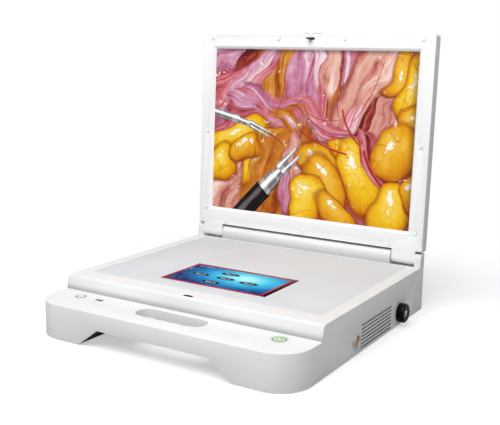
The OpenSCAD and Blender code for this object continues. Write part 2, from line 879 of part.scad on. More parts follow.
// Button cap with its flange under the ring and its plunger in the switch
module cap(x, r) {
    flange_z = switch_top + button_travel + fit;
    top_r = r - ring_w - button_gap;
    translate([x, button_y, 0]) {
        along_z(flange_z, shelf_h + cap_proud) circle(top_r);
        along_z(flange_z, flange_z + cap_flange_t) circle(top_r + 2 * button_gap + fit);
        along_z(switch_top - switch_h + button_travel + fit, flange_z + fit) circle(plunger_r);
    }
}

module power_ring() color(lamp_green) placed() ring(power_x, power_ring_r);
module power_button() color(white) placed() cap(power_x, power_ring_r);
module menu_ring() color(grey) placed() ring(-menu_x, menu_ring_r);
module menu_button() color(white) placed() cap(-menu_x, menu_ring_r);

module indicator_window() {
    color(window_dark) placed() translate([-window_x, button_y, 0]) {
        along_z(shelf_under, shelf_h - fit) round_rect(window_w, window_d, ring_w);
        along_z(shelf_under - ring_flange_t, shelf_under)
            round_rect(window_w + 2 * ring_flange, window_d + 2 * ring_flange, ring_w);
    }
}

// Rear

rear_t = 2.5;
rear_y = case_d - wall;
// Sideways places on the rear panel, from its middle
inlet_side = 75;
rocker_side = 40;
video_side = 32;
rear_z = (rear_low + rear_high) / 2;
inlet = [30, 23];
inlet_x = rear_x - inlet_side;
inlet_depth = 22;
inlet_hole = [25, 17.5];
inlet_hole_depth = 16;
inlet_flange = 2;
inlet_slack = 2.4;
rocker_size = [21, 15];
rocker_x = rear_x - rocker_side;
rocker_depth = 14;
rocker_wall = 1.6;
rocker_hole = [14.6, 11];
video_count = 2;
video_x = rear_x + video_side;
video_pitch = 32;
video_r = 4.8;
video_bore_r = 3.9;
video_len = 9;
video_nut_r = 7.5;
video_nut_t = 2;
video_neck_r = 5.5;
module rear_panel() {
    color(grey) placed() along_y(rear_y, rear_y + rear_t) difference() {
        translate([rear_x - rear_w / 2, rear_low]) square([rear_w, rear_high - rear_low]);
        translate([inlet_x, rear_z]) square(inlet - [inlet_slack, inlet_slack], center = true);
        translate([rocker_x, rear_z]) square(rocker_size - [inlet_slack, inlet_slack], center = true);
        for (i = [0:video_count - 1])
            translate([video_x + i * video_pitch, rear_z]) circle(video_neck_r + fit);
    }
}

inlet_corner = 5;
module inlet_shape(w, h, c) {
    polygon([[-w / 2, -h / 2], [w / 2, -h / 2], [w / 2, h / 2 - c], [w / 2 - c, h / 2],
             [-w / 2 + c, h / 2], [-w / 2, h / 2 - c]]);
}
module mains_inlet() {
    y1 = rear_y + rear_t;
    body = inlet - [inlet_slack + 2 * fit, inlet_slack + 2 * fit];
    color(black) placed() translate([inlet_x, 0, rear_z]) difference() {
        union() {
            along_y(y1, y1 + inlet_flange) square(inlet, center = true);
            along_y(y1 - inlet_depth, y1 + fit) square(body, center = true);
        }
        along_y(y1 + inlet_flange - inlet_hole_depth, y1 + inlet_flange + over)
            inlet_shape(inlet_hole[0], inlet_hole[1], inlet_corner);
    }
}

pin_w = 2;
pin_h = 4;
pin_x = 7;
pin_drop = 1;
pin_rise = 4;
module inlet_pins() {
    y0 = rear_y + rear_t + inlet_flange - inlet_hole_depth;
    y1 = y0 + inlet_hole_depth - 2 * inlet_flange;
    color(steel) placed() translate([inlet_x, 0, rear_z]) along_y(y0, y1) {
        for (s = [-1, 1]) translate([s * pin_x, -pin_drop]) square([pin_w, pin_h], center = true);
        translate([0, pin_rise]) square([pin_w, pin_h], center = true);
    }
}

module rocker_frame() {
    y1 = rear_y + rear_t;
    body = rocker_size - [inlet_slack + 2 * fit, inlet_slack + 2 * fit];
    color(black) placed() translate([rocker_x, 0, rear_z]) difference() {
        union() {
            along_y(y1, y1 + inlet_flange) square(rocker_size, center = true);
            along_y(y1 - rocker_depth, y1 + fit) square(body, center = true);
        }
        along_y(y1 - rocker_depth + rocker_wall, y1 + inlet_flange + over) square(rocker_hole, center = true);
        translate([0, rocker_pivot, 0])
            bar_x(-rocker_hole[0] / 2 - rocker_wall, rocker_hole[0] / 2 + rocker_wall,
                  rocker_axle_r + shaft_fit);
    }
}

rocker_tilt = 8;
rocker_set = 2;
rocker_pivot = rear_y + rear_t - rocker_set;
rocker_axle_r = 1.5;
module rocker() {
    w = rocker_hole[0] - 2 * run;
    h = rocker_hole[1] - 6 * run;
    lift = 3.6;
    drop = h / 2 * tan(rocker_tilt);
    color(black) placed() translate([rocker_x, rocker_pivot, rear_z]) rotate([-rocker_tilt, 0, 0]) {
        along_x(-w / 2, w / 2) polygon([[-lift, -h / 4], [0, -h / 2], [lift + drop, -h / 2], [lift, 0],
                                        [lift + drop, h / 2], [0, h / 2], [-lift, h / 4]]);
        bar_x(-w / 2 - rocker_wall, w / 2 + rocker_wall, rocker_axle_r);
    }
}

module video_sockets() {
    y1 = rear_y + rear_t;
    color(steel) placed() for (i = [0:video_count - 1]) translate([video_x + i * video_pitch, 0, rear_z]) {
        difference() {
            union() {
                bar_y(y1 - 3 * video_nut_t, y1 + video_nut_t, video_neck_r);
                bar_y(y1, y1 + video_nut_t, video_nut_r);
                bar_y(y1, y1 + video_nut_t + video_len, video_r);
                bar_y(rear_y - video_nut_t, rear_y, video_nut_r);
            }
            bar_y(y1 + video_nut_t, y1 + video_nut_t + video_len + over, video_bore_r);
        }
    }
}

contact_pin_r = 1.2;
contact_set = 1.8;
module video_contacts() {
    y1 = rear_y + rear_t + video_nut_t;
    color(brass) placed() for (i = [0:video_count - 1]) translate([video_x + i * video_pitch, 0, rear_z])
        bar_y(y1, y1 + video_len - contact_set, contact_pin_r);
}

// Lid, drawn upright about the hinge axis: x sideways, y towards the back, z up the lid

leg_r = lid_t / 2;
screen_low = lid_len - screen_top - screen_h;
screen_mid = screen_low + screen_h / 2;
leg_wall = 2;

// Front view of the lid's body, drawn in by an inset
module lid_front_view(inset) {
    w = side_x - inset;
    r = lid_corner_r - inset * lid_corner_r / (2 * lid_wall);
    z = lid_len - inset - r;
    polygon(concat([[-w, lid_low + inset], [w, lid_low + inset]], arc([w - r, z], r, 0, 90, 6),
                   arc([-w + r, z], r, 90, 180, 6)));
}

// Legs that reach down round the hinge axis
module legs(inset, y0, y1) {
    for (s = [-1, 1]) intersection() {
        x0 = s > 0 ? leg_in + inset : -leg_out + inset;
        x1 = s > 0 ? leg_out - inset : -leg_in - inset;
        union() {
            block([x0, lid_front + inset, 0], [x1, lid_back - inset, lid_low + lid_wall + over]);
            bar_x(x0, x1, leg_r - inset);
        }
        block([-side_x, y0, -lid_t], [side_x, y1, lid_len]);
    }
}

module lid_shell() {
    void_back = lid_back - lid_wall;
    color(white) placed() on_lid() difference() {
        union() {
            along_y(bezel_back, lid_back) lid_front_view(0);
            legs(0, bezel_back, lid_back);
        }
        difference() {
            union() {
                along_y(bezel_back - over, void_back) lid_front_view(lid_wall);
                legs(leg_wall, bezel_back - over, lid_back);
            }
            // Bosses for the hinge arms and the top screws
            for (s = [-1, 1], z = arm_screws)
                translate([s * arm_x, 0, z]) bar_y(arm_back, lid_back, boss_r);
            // Stop behind the latch's spring
            block([spring_end, bezel_back, carriage_low], [spring_end + lid_wall, lid_back, lid_len]);
        }
        // Ways of the hinge shafts
        for (s = [-1, 1]) bar_x(s > 0 ? leg_in - over : -leg_in - leg_wall - over,
                                s > 0 ? leg_in + leg_wall + over : -leg_in + over, shaft_r + run);
        // Slot of the release slider in the top edge
        block([slider_left - run, latch_mid - slider_d / 2 - run, lid_len - lid_wall - over],
              [slider_right + latch_travel + run, latch_mid + slider_d / 2 + run, lid_len + over]);
        // Screw holes for the hinge arms
        for (s = [-1, 1], z = arm_screws)
            translate([s * arm_x, 0, z]) bar_y(arm_back - over, arm_back + 2 * over, pilot_r);
    }
}

module lid_bezel() {
    // The lip slopes from the front face down to the screen
    half_w = screen_w / 2;
    half_h = screen_h / 2;
    color(white) placed() on_lid() difference() {
        union() {
            along_y(lid_front, bezel_back) lid_front_view(0);
            legs(0, lid_front, bezel_back);
        }
        intersection() {
            along_z(0, lid_len) polygon([[-half_w, bezel_back], [half_w, bezel_back],
                                         [half_w + lip_w, lid_front], [half_w + lip_w, lid_front - over],
                                         [-half_w - lip_w, lid_front - over], [-half_w - lip_w, lid_front]]);
            along_x(-side_x, side_x) translate([0, screen_mid])
                polygon([[bezel_back, -half_h], [bezel_back, half_h],
                         [lid_front, half_h + lip_w], [lid_front - over, half_h + lip_w],
                         [lid_front - over, -half_h - lip_w], [lid_front, -half_h - lip_w]]);
        }
        // The screen's own hole, so that the lip ends in a clean edge
        block([-half_w, lid_front - over, screen_mid - half_h],
              [half_w, bezel_back + over, screen_mid + half_h]);
        // Way of the hook
        block([-hook_w / 2 - barb - run, lid_front - over, hook_z - hook_t / 2 - run],
              [hook_w / 2 + latch_travel + run, bezel_back + over, hook_z + hook_t / 2 + run]);
        // Seats of the bumpers
        for (p = bumper_places) translate([p[0], 0, p[1]])
            bar_y(lid_front - over, lid_front + bumper_seat, bumper_r + fit);
        // Hollow of the legs' fronts
        legs(leg_wall, lid_front, bezel_back + over);
    }
}

panel_edge = 3;
screen_t = 1.2;
module screen_panel() {
    color(screen_black) placed() on_lid()
        block([-screen_w / 2 - panel_edge, bezel_back, screen_low - panel_edge],
              [screen_w / 2 + panel_edge, bezel_back + screen_t, screen_low + screen_h + panel_edge]);
}

module_t = 6.5;
module_edge = 5;
module display_module() {
    y0 = bezel_back + screen_t;
    rib = 0.6;
    stamp = [120, 150];
    color(steel) placed() on_lid() difference() {
        block([-screen_w / 2 - module_edge, y0, screen_low - module_edge],
              [screen_w / 2 + module_edge, y0 + module_t, screen_low + screen_h + module_edge]);
        // Stamped hollows in the module's back
        for (s = [-1, 1])
            block([s * screen_w / 4 - stamp[0] / 2, y0 + module_t - rib, screen_mid - stamp[1] / 3],
                  [s * screen_w / 4 + stamp[0] / 2, y0 + module_t + over, screen_mid + stamp[1] * 2 / 3]);
    }
}

rail_w = 7;
rail_t = 1.5;
rail_x = screen_w / 2 + module_edge + fit;
module display_rails() {
    y0 = bezel_back + screen_t;
    top = lid_len - 2 * screen_top;
    low = lid_low + lid_wall + fit;
    color(steel) placed() on_lid() for (s = [-1, 1]) {
        block([s > 0 ? rail_x : -rail_x - rail_w, y0, low],
              [s > 0 ? rail_x + rail_w : -rail_x, y0 + rail_t, top]);
        // Flange along the module's side
        block([s > 0 ? rail_x : -rail_x - rail_t, y0, arm_top + fit],
              [s > 0 ? rail_x + rail_t : -rail_x, y0 + module_t, top]);
    }
}

driver_w = 100;
driver_h = 30;
driver_chip_w = 16;
driver_chip_t = 1;
driver_chip_count = 3;
module driver_board() {
    y0 = bezel_back + screen_t + module_t;
    z0 = screen_low + module_edge;
    z = z0 + driver_h / 2;
    half = driver_chip_w / 2;
    color(board_green) placed() on_lid() {
        block([-driver_w / 2, y0, z0], [driver_w / 2, y0 + pcb_t, z0 + driver_h]);
        for (i = [1:driver_chip_count]) let (x = driver_w * (i / (driver_chip_count + 1) - 1 / 2))
            block([x - half, y0, z - half], [x + half, y0 + pcb_t + driver_chip_t, z + half]);
    }
}

inverter_w = 150;
inverter_h = 11;
coil_w = 14;
coil_d = 4;
coil_h = 8;
coil_count = 5;
module inverter_board() {
    // Long narrow board between the screen and the lid's lower edge
    y0 = void_seat - pcb_t;
    z0 = lid_low + lid_wall + fit;
    y_coil = y0 + pcb_t / 2;
    color(board_green) placed() on_lid() {
        block([-inverter_w / 2, y0, z0], [inverter_w / 2, void_seat, z0 + inverter_h]);
        for (i = [1:coil_count]) let (x = inverter_w * (i / (coil_count + 1) - 1 / 2))
            block([x - coil_w / 2, y_coil - coil_d, z0], [x + coil_w / 2, y_coil, z0 + coil_h]);
    }
}
void_seat = lid_back - lid_wall;

// Hinge arms: shaft, knuckle in the leg and plate up the lid
arm_x = leg_in + leg_w / 2;
arm_gap = 2;
arm_top = screen_low - module_edge - arm_gap;
arm_t = 2.5;
arm_front = bezel_back + screen_t + rail_t;
arm_back = arm_front + arm_t;
arm_screw_rise = 7;
arm_screws = [lid_low + arm_screw_rise];
knuckle_r = leg_r - leg_wall - fit;
knuckle_w = 18;
module hinge_arms() {
    in = barrel_w / 2 - barrel_wall - fit - sleeve_w;
    knuckle_in = leg_in + leg_wall + fit;
    knuckle_out = leg_out - leg_wall - fit;
    color(steel) placed() on_lid() for (s = [-1, 1]) {
        difference() {
            union() {
                bar_x(s > 0 ? in : -arm_x, s > 0 ? arm_x : -in, shaft_r);
                block([s > 0 ? knuckle_in : -knuckle_out, arm_front, 0],
                      [s > 0 ? knuckle_out : -knuckle_in, arm_back, arm_top]);
                bar_x(s > 0 ? knuckle_in : -knuckle_in - knuckle_w,
                      s > 0 ? knuckle_in + knuckle_w : -knuckle_in, knuckle_r);
            }
            for (z = arm_screws)
                translate([s * arm_x, 0, z]) bar_y(arm_front - over, arm_back + over, pilot_r);
        }
    }
}

bumper_r = 3;
bumper_seat = 1;
bumper_proud = 1.2;
// Places of the bumpers: from the side, up the lid and out from the middle
bumper_edge = 11;
bumper_corner = 17;
bumper_side_z = [34, 147];
bumper_top_x = 50;
bumper_low_x = 128;
bumper_rise = 5;
bumper_low = lid_low + bumper_rise;
bumper_top = lid_len - hook_drop;
bumper_places = concat([[0, bumper_low]],
                       [for (s = [-1, 1]) [s * (side_x - bumper_corner), bumper_top]],
                       [for (s = [-1, 1]) [s * bumper_top_x, bumper_top]],
                       [for (s = [-1, 1]) [s * bumper_low_x, bumper_low]],
                       [for (s = [-1, 1], z = bumper_side_z) [s * (side_x - bumper_edge), z]]);
module lid_bumpers() {
    dome = 0.4;
    reach = bumper_seat + bumper_proud;
    color(grey) placed() on_lid() for (p = bumper_places)
        translate([p[0], lid_front + bumper_seat, p[1]]) rotate([90, 0, 0])
            rotate_extrude() polygon([[0, 0], [bumper_r, 0], [bumper_r, reach - dome],
                                      [bumper_r - dome, reach], [0, reach]]);
}

module lid_screws() {
    color(steel) placed() on_lid() for (s = [-1, 1], z = arm_screws) translate([s * arm_x, 0, z]) {
        bar_y(arm_front - screw_head_t, arm_front, screw_head_r);
        bar_y(arm_front - screw_head_t, arm_back + over, screw_r);
    }
}

// Latch in the lid's top edge

hook_z = lid_len - hook_drop;
hook_t = 2.4;
barb = 1.5;
barb_t = 1.5;
slider_d = 5;
slider_proud = 0.9;
slider_left = -15.3;
slider_right = 11.4;
saddle_left = -6.3;
saddle_right = -2.5;
latch_mid = 0.4;
carriage_t = 2.5;
carriage_y = bezel_back + fit;
carriage_low = hook_z - hook_t;
module latch_slider() {
    top = lid_len + slider_proud;
    inner_top = lid_len - lid_wall - run;
    color(dark) placed() on_lid() {
        difference() {
            block([slider_left, latch_mid - slider_d / 2, inner_top - over],
                  [slider_right, latch_mid + slider_d / 2, top]);
            block([saddle_left, latch_mid - slider_d, lid_len - fit],
                  [saddle_right, latch_mid + slider_d, top + over]);
        }
        // Carriage that runs behind the bezel and holds the hook
        difference() {
            block([slider_left - barb, carriage_y, carriage_low],
                  [slider_right + barb, latch_mid + slider_d / 2, inner_top]);
            block([-hook_w / 2 - barb - fit, carriage_y - over, hook_z - hook_t / 2 - fit / 2],
                  [hook_w / 2 + fit / 2, carriage_y + carriage_t + fit / 2, hook_z + hook_t / 2 + fit / 2]);
        }
    }
}

module latch_hook() {
    tip = lid_front - hook_reach;
    color(steel) placed() on_lid() {
        block([-hook_w / 2, tip, hook_z - hook_t / 2],
              [hook_w / 2, carriage_y + carriage_t, hook_z + hook_t / 2]);
        // Barb that catches behind the keeper, with a slanted nose
        translate([0, 0, hook_z - hook_t / 2]) linear_extrude(hook_t)
            polygon([[-hook_w / 2 - barb, tip + barb_t / 2], [-hook_w / 2, tip], [-hook_w / 2 + fit, tip],
                     [-hook_w / 2 + fit, tip + barb_t], [-hook_w / 2 - barb, tip + barb_t]]);
        // Foot that seats in the carriage
        block([-hook_w / 2 - barb, carriage_y, hook_z - hook_t / 2],
              [-hook_w / 2 + fit, carriage_y + carriage_t, hook_z + hook_t / 2]);
    }
}

spring_r = 1.6;
spring_wire = 0.5;
spring_len = 12;
spring_x = slider_right + barb + run;
spring_end = spring_x + spring_len + run;
module latch_spring() {
    color(steel) placed() on_lid() translate([0, latch_mid, carriage_low + 2 * spring_r]) difference() {
        bar_x(spring_x, spring_x + spring_len, spring_r);
        bar_x(spring_x - over, spring_x + spring_len + over, spring_r - spring_wire);
    }
}

housing();
bottom_plate();
rubber_feet();
case_screws();
deck_panel();
touch_glass();
touch_display();
hinge_ears();
barrel_cover();
hinge_sleeves();
latch_keeper();
side_vent();
camera_socket_ring();
camera_socket_insert();
light_port();
light_port_bush();
light_engine();
heat_sink();
fan_frame();
fan_rotor();
main_board();
board_standoffs();
camera_board();
power_supply();
button_boards();
power_ring();
power_button();
menu_ring();
menu_button();
indicator_window();
rear_panel();
mains_inlet();
inlet_pins();
rocker_frame();
rocker();
video_sockets();
video_contacts();
lid_shell();
lid_bezel();
screen_panel();
display_module();
display_rails();
driver_board();
inverter_board();
hinge_arms();
lid_bumpers();
lid_screws();
latch_slider();
latch_hook();
latch_spring();
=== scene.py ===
"""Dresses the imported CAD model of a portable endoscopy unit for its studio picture.

The unit is a white case with a carrying shelf, a touch display in its deck, sockets and a vent in
its side, and a display lid on a friction hinge. Sizes are millimetres, from the front of the shelf
and the floor, and turn into metres as a piece is made.
"""

import json
import logging
import math
from contextlib import contextmanager
from dataclasses import dataclass, field
from enum import Enum
from typing import Callable, Iterator

import bpy
from mathutils import Matrix, Vector

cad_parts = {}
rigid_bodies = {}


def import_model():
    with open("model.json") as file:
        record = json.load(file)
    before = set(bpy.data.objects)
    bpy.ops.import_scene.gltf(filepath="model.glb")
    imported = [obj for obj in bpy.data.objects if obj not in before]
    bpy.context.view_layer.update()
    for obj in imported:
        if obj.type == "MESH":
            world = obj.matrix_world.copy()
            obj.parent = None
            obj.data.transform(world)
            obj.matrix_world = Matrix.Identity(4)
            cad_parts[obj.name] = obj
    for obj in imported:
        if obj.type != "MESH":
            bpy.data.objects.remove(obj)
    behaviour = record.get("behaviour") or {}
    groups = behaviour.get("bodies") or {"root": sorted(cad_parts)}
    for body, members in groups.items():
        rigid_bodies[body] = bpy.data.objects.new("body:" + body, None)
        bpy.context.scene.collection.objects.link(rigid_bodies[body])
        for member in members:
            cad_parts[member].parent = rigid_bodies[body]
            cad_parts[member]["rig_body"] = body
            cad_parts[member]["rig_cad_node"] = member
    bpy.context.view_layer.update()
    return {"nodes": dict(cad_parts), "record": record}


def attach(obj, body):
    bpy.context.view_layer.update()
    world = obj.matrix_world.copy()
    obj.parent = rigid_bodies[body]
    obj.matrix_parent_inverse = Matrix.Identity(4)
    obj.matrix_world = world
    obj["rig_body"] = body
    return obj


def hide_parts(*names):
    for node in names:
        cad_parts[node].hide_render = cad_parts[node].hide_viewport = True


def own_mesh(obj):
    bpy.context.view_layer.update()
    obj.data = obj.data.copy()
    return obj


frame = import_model()

LOG = logging.getLogger("endoscopy_unit")
MM = 0.001
Pair = tuple[float, float]
Triple = tuple[float, float, float]
Box = tuple[float, float, float, float]
Colour = tuple[float, float, float, float]
Test = Callable[[Vector, Vector], bool]
Material = bpy.types.Material
Socket = bpy.types.NodeSocket
WHITE: Colour = (1.0, 1.0, 1.0, 1.0)
BLACK: Colour = (0.0, 0.0, 0.0, 1.0)


def srgb(red: float, green: float, blue: float) -> Colour:
    """Turns a colour as a screen shows it into the linear colour that a shader takes.

    Args:
        red: Red, 0 to 255.
        green: Green, 0 to 255.
        blue: Blue, 0 to 255.

    Returns:
        Linear red, green and blue from 0 to 1, and an alpha of 1.
    """

    def linear(value: float) -> float:
        """Returns one channel in linear light."""
        v = value / 255
        return v / 12.92 if v <= 0.04045 else ((v + 0.055) / 1.055) ** 2.4

    return (linear(red), linear(green), linear(blue), 1.0)


def toned(colour: Colour, share: float, lift: float = 0.0) -> Colour:
    """Returns a share of a colour, lifted by a little and kept within 1."""
    return (*(min(1.0, c * share + lift) for c in colour[:3]), 1.0)


def shift(x: float = 0.0, y: float = 0.0, z: float = 0.0) -> Matrix:
    """Returns the matrix of a move in millimetres."""
    return Matrix.Translation((x * MM, y * MM, z * MM))


def spin(degrees: float, axis: str) -> Matrix:
    """Returns the matrix of a turn about an axis."""
    return Matrix.Rotation(math.radians(degrees), 4, axis)


@dataclass(frozen=True)
class Layout:
    """The case's main places, in millimetres, and the way from them to the row frame."""

    mid_x: float = 4.75
    mid_y: float = 184.773
    hinge_y: float = 351.5
    hinge_z: float = 68.0
    lean: float = 2.0
    case_d: float = 358.0
    side_x: float = 175.0
    deck_top: float = 58.3
    shelf_top: float = 41.5

    def top(self, x: float, y: float, z: float) -> Matrix:
        """Returns the matrix of a place on a level face, with +Z pointing up.

        Args:
            x: Distance to the right of the case's middle.
            y: Distance from the shelf's front.
            z: Height above the floor.
        """
        return shift(-self.mid_x, -self.mid_y) @ shift(x, y, z)

    def side(self, y: float, z: float) -> Matrix:
        """Returns the matrix of a place on the right side, with +Z pointing out of it."""
        return self.top(self.side_x, y, z) @ spin(90, "Y")

    def back(self, x: float, y: float, z: float) -> Matrix:
        """Returns the matrix of a place on the back, with +Z pointing out of it."""
        return self.top(x, y, z) @ spin(-90, "X")

    def lid(self) -> Matrix:
        """Returns the matrix from the upright lid's metres to the row frame."""
        return self.top(0, self.hinge_y, self.hinge_z) @ spin(-self.lean, "X")


LAYOUT = Layout()


class Graph:
    """A node tree while it is being wired: a material's, the world's or a shared group's."""

    def __init__(self, tree: bpy.types.NodeTree) -> None:
        """Starts with an empty tree."""
        self.tree = tree
        tree.nodes.clear()

    @classmethod
    def of_material(cls, name: str) -> "Graph":
        """Starts a new material's tree with one Principled shader."""
        material = bpy.data.materials.new(name)
        material.use_nodes = True
        g = cls(material.node_tree)
        g.material = material
        g.shader = g.add("BsdfPrincipled")
        g.output = g.add("OutputMaterial", {"Surface": g.shader.outputs["BSDF"]})
        return g

    @classmethod
    def of_group(cls, name: str, inputs: tuple[tuple[str, str], ...]) -> "Graph":
        """Starts the tree of a group that materials share, from its inputs' names and kinds."""
        g = cls(bpy.data.node_groups.new(name, "ShaderNodeTree"))
        for key, kind in inputs:
            g.tree.interface.new_socket(key, in_out="INPUT", socket_type=f"NodeSocket{kind}")
        g.tree.interface.new_socket("Result", in_out="OUTPUT", socket_type="NodeSocketColor")
        g.given = g.tree.nodes.new("NodeGroupInput").outputs
        return g

    def add(self, kind: str, feeds: dict[str | int, object] | None = None,
            **settings: object) -> bpy.types.Node:
        """Adds a shader node, sets its properties and feeds its inputs.

        Args:
            kind: The node's type, without the words that all types start with.
            feeds: Sockets to link or values to set, by the name or number of an input.
            settings: The node's properties.

        Returns:
            The node.
        """
        node = self.tree.nodes.new(f"ShaderNode{kind}")
        for key, value in settings.items():
            setattr(node, key, value)
        for key, value in (feeds or {}).items():
            self.feed(node.inputs[key], value)
        return node

    def feed(self, target: Socket, value: object) -> None:
        """Links a socket to a target, or sets the target to a plain value."""
        if isinstance(value, Socket):
            self.tree.links.new(value, target)
        else:
            target.default_value = value

    def set(self, **values: object) -> None:
        """Feeds the shader's inputs, with underscores for spaces in their names."""
        for key, value in values.items():
            self.feed(self.shader.inputs[key.replace("_", " ")], value)

    def place(self) -> Socket:
        """Returns the piece's own coordinates."""
        return self.add("TexCoord").outputs["Object"]

    def uv(self) -> Socket:
        """Returns the piece's UV coordinates."""
        return self.add("TexCoord").outputs["UV"]

    def stretched(self, where: Socket, scale: Triple) -> Socket:
        """Returns coordinates stretched along each axis."""
        return self.add("Mapping", {"Vector": where, "Scale": scale}).outputs["Vector"]

    def noise(self, where: Socket, scale: float, detail: float = 2.0, roughness: float = 0.5,
              distortion: float = 0.0, output: str = "Fac") -> Socket:
        """Returns the grey value of a noise texture, or its colour."""
        return self.add("TexNoise", {"Vector": where, "Scale": scale, "Detail": detail,
                                     "Roughness": roughness,
                                     "Distortion": distortion}).outputs[output]

    def cells(self, where: Socket, scale: float, feature: str) -> Socket:
        """Returns the distance in a pattern of cells."""
        feeds = {"Vector": where, "Scale": scale}
        return self.add("TexVoronoi", feeds, feature=feature).outputs["Distance"]

    def ramp(self, value: Socket, stops: list[tuple[float, Colour]]) -> Socket:
        """Returns a colour read from a colour ramp."""
        node = self.add("ValToRGB", {"Fac": value})
        elements = node.color_ramp.elements
        while len(elements) < len(stops):
            elements.new(1.0)
        for element, (position, colour) in zip(elements, stops):
            element.position = position
            element.color = colour
        return node.outputs["Color"]

    def mix(self, factor: object, first: object, second: object) -> Socket:
        """Returns a mix of two colours."""
        return self.add("Mix", {"Factor": factor, 6: first, 7: second}, data_type="RGBA",
                        clamp_factor=True).outputs[2]

    def math(self, operation: str, *values: object, clamp: bool = False) -> Socket:
        """Returns the result of one sum on numbers."""
        return self.add("Math", dict(enumerate(values)), operation=operation,
                        use_clamp=clamp).outputs[0]

    def vector(self, operation: str, *values: object) -> Socket:
        """Returns the result of one sum on vectors."""
        output = "Value" if operation in ("DOT_PRODUCT", "LENGTH") else "Vector"
        return self.add("VectorMath", dict(enumerate(values)),
                        operation=operation).outputs[output]

    def scaled(self, value: object, factor: float, more: float) -> Socket:
        """Returns a value times a factor, plus a number."""
        return self.math("MULTIPLY_ADD", value, factor, more)

    def span(self, value: Socket, low: float, high: float, to_low: float = 0.0,
             to_high: float = 1.0) -> Socket:
        """Returns a value moved smoothly from one range to another."""
        feeds = {"Value": value, "From Min": low, "From Max": high, "To Min": to_low,
                 "To Max": to_high}
        return self.add("MapRange", feeds, interpolation_type="SMOOTHSTEP").outputs["Result"]

    def clouded(self, value: Socket, colour: Colour, share: float, low: float = 0.3,
                high: float = 0.7) -> Socket:
        """Returns a colour that falls to a share of itself where a grey value is low."""
        return self.mix(self.span(value, low, high), toned(colour, share), colour)

    def split(self, vector: Socket) -> tuple[Socket, ...]:
        """Returns the three parts of a vector."""
        return tuple(self.add("SeparateXYZ", {"Vector": vector}).outputs)

    def drift(self, flat: Socket, scale: Triple, drift: float) -> Socket:
        """Returns flat coordinates stretched, and moved on from place to place."""
        return self.vector("MULTIPLY_ADD", self.place(), (drift,) * 3,
                           self.stretched(flat, scale))

    def bump(self, height: Socket, depth: float, strength: float) -> None:
        """Gives the surface a relief of a depth in millimetres."""
        feeds = {"Height": height, "Distance": depth * MM, "Strength": strength}
        self.set(Normal=self.add("Bump", feeds).outputs["Normal"])

    def show(self, colour: Socket, glow: float, gloss: float = 0.1) -> None:
        """Shows a colour as a lit screen does: half its own light, half the room's."""
        self.set(Base_Color=self.mix(0.5, colour, BLACK), Roughness=0.5,
                 Specular_IOR_Level=gloss, Emission_Color=colour, Emission_Strength=glow)


@dataclass(frozen=True)
class Finish:
    """A surface made of procedural textures."""

    name: str

    def wire(self, g: Graph) -> None:
        """Wires the finish into a new material; each kind does this in its own way."""
        raise NotImplementedError

    def material(self) -> Material:
        """Returns the finish as a Blender material."""
        g = Graph.of_material(self.name)
        self.wire(g)
        return g.material


@dataclass(frozen=True)
class Moulded(Finish):
    """Moulded or painted plastic: one colour with a slow drift and a fine even grain.

    The colour falls to a share of itself low on the piece, between two heights in metres: painted
    shade, darker towards the bottom.
    """

    colour: Colour
    roughness: float = 0.42
    drift: float = 0.03
    grain: float = 2200.0
    depth: float = 0.02
    gloss: float = 0.5
    foot: float = 1.0
    rise: Pair = (0.0, 1.0)
    spread: float = 0.04

    def wire(self, g: Graph) -> None:
        """Wires a cloud in the colour, a second one in the gloss, and the grain."""
        where = g.place()
        shade = g.clouded(g.noise(where, 14.0, 3.0), self.colour, 1 - self.drift, 0.35, 0.65)
        # Painted shade: the colour darkens towards the bottom, to a share of itself below the two
        # heights.
        if self.foot < 1:
            rise = g.span(g.split(where)[2], *self.rise)
            shade = g.mix(rise, toned(self.colour, self.foot), shade)
        rough = g.span(g.noise(where, 60.0, 3.0), 0.3, 0.7,
                       self.roughness - self.spread, self.roughness + self.spread)
        g.set(Base_Color=shade, Roughness=rough, Specular_IOR_Level=self.gloss)
        g.bump(g.noise(where, self.grain, 2.0, 0.6), self.depth, 0.6)


@dataclass(frozen=True)
class Brushed(Finish):
    """Metal with fine lines along one axis."""

    colour: Colour
    roughness: float = 0.3
    scale: Triple = (40.0, 900.0, 900.0)
    depth: float = 0.01

    def wire(self, g: Graph) -> None:
        """Wires the lines into the colour, the gloss and the relief."""
        lines = g.noise(g.stretched(g.place(), self.scale), 1.0, 4.0, 0.6)
        rough = g.span(lines, 0.2, 0.8, self.roughness * 0.7, self.roughness * 1.3)
        g.set(Base_Color=g.clouded(lines, self.colour, 0.82), Metallic=1.0, Roughness=rough)
        g.bump(lines, self.depth, 0.5)


@dataclass(frozen=True)
class Polished(Finish):
    """Plated or anodised metal: even, with a faint cloud in its gloss."""

    colour: Colour
    roughness: float = 0.15
    metallic: float = 1.0
    gloss: float = 0.5

    def wire(self, g: Graph) -> None:
        """Wires the cloud and a very fine relief."""
        where = g.place()
        cloud = g.noise(where, 300.0, 3.0)
        rough = g.span(cloud, 0.3, 0.7, self.roughness * 0.8, self.roughness * 1.25)
        g.set(Base_Color=g.clouded(cloud, self.colour, 0.9), Metallic=self.metallic,
              Specular_IOR_Level=self.gloss, Roughness=rough)
        g.bump(g.noise(where, 1500.0), 0.004, 0.4)


@dataclass(frozen=True)
class Soft(Finish):
    """Rubber or foam: dull, with a pitted surface."""

    colour: Colour
    roughness: float = 0.8
    pits: float = 1600.0
    depth: float = 0.05
    spread: float = 0.08

    def wire(self, g: Graph) -> None:
        """Wires pale patches, uneven gloss and the pits."""
        where = g.place()
        rough = g.span(g.noise(where, 200.0), 0.3, 0.7,
                       self.roughness - self.spread, self.roughness + self.spread)
        patches = g.noise(where, 90.0, 4.0)
        g.set(Base_Color=g.mix(patches, self.colour, toned(self.colour, 1.35)), Roughness=rough)
        g.bump(g.cells(where, self.pits, "SMOOTH_F1"), self.depth, 0.7)


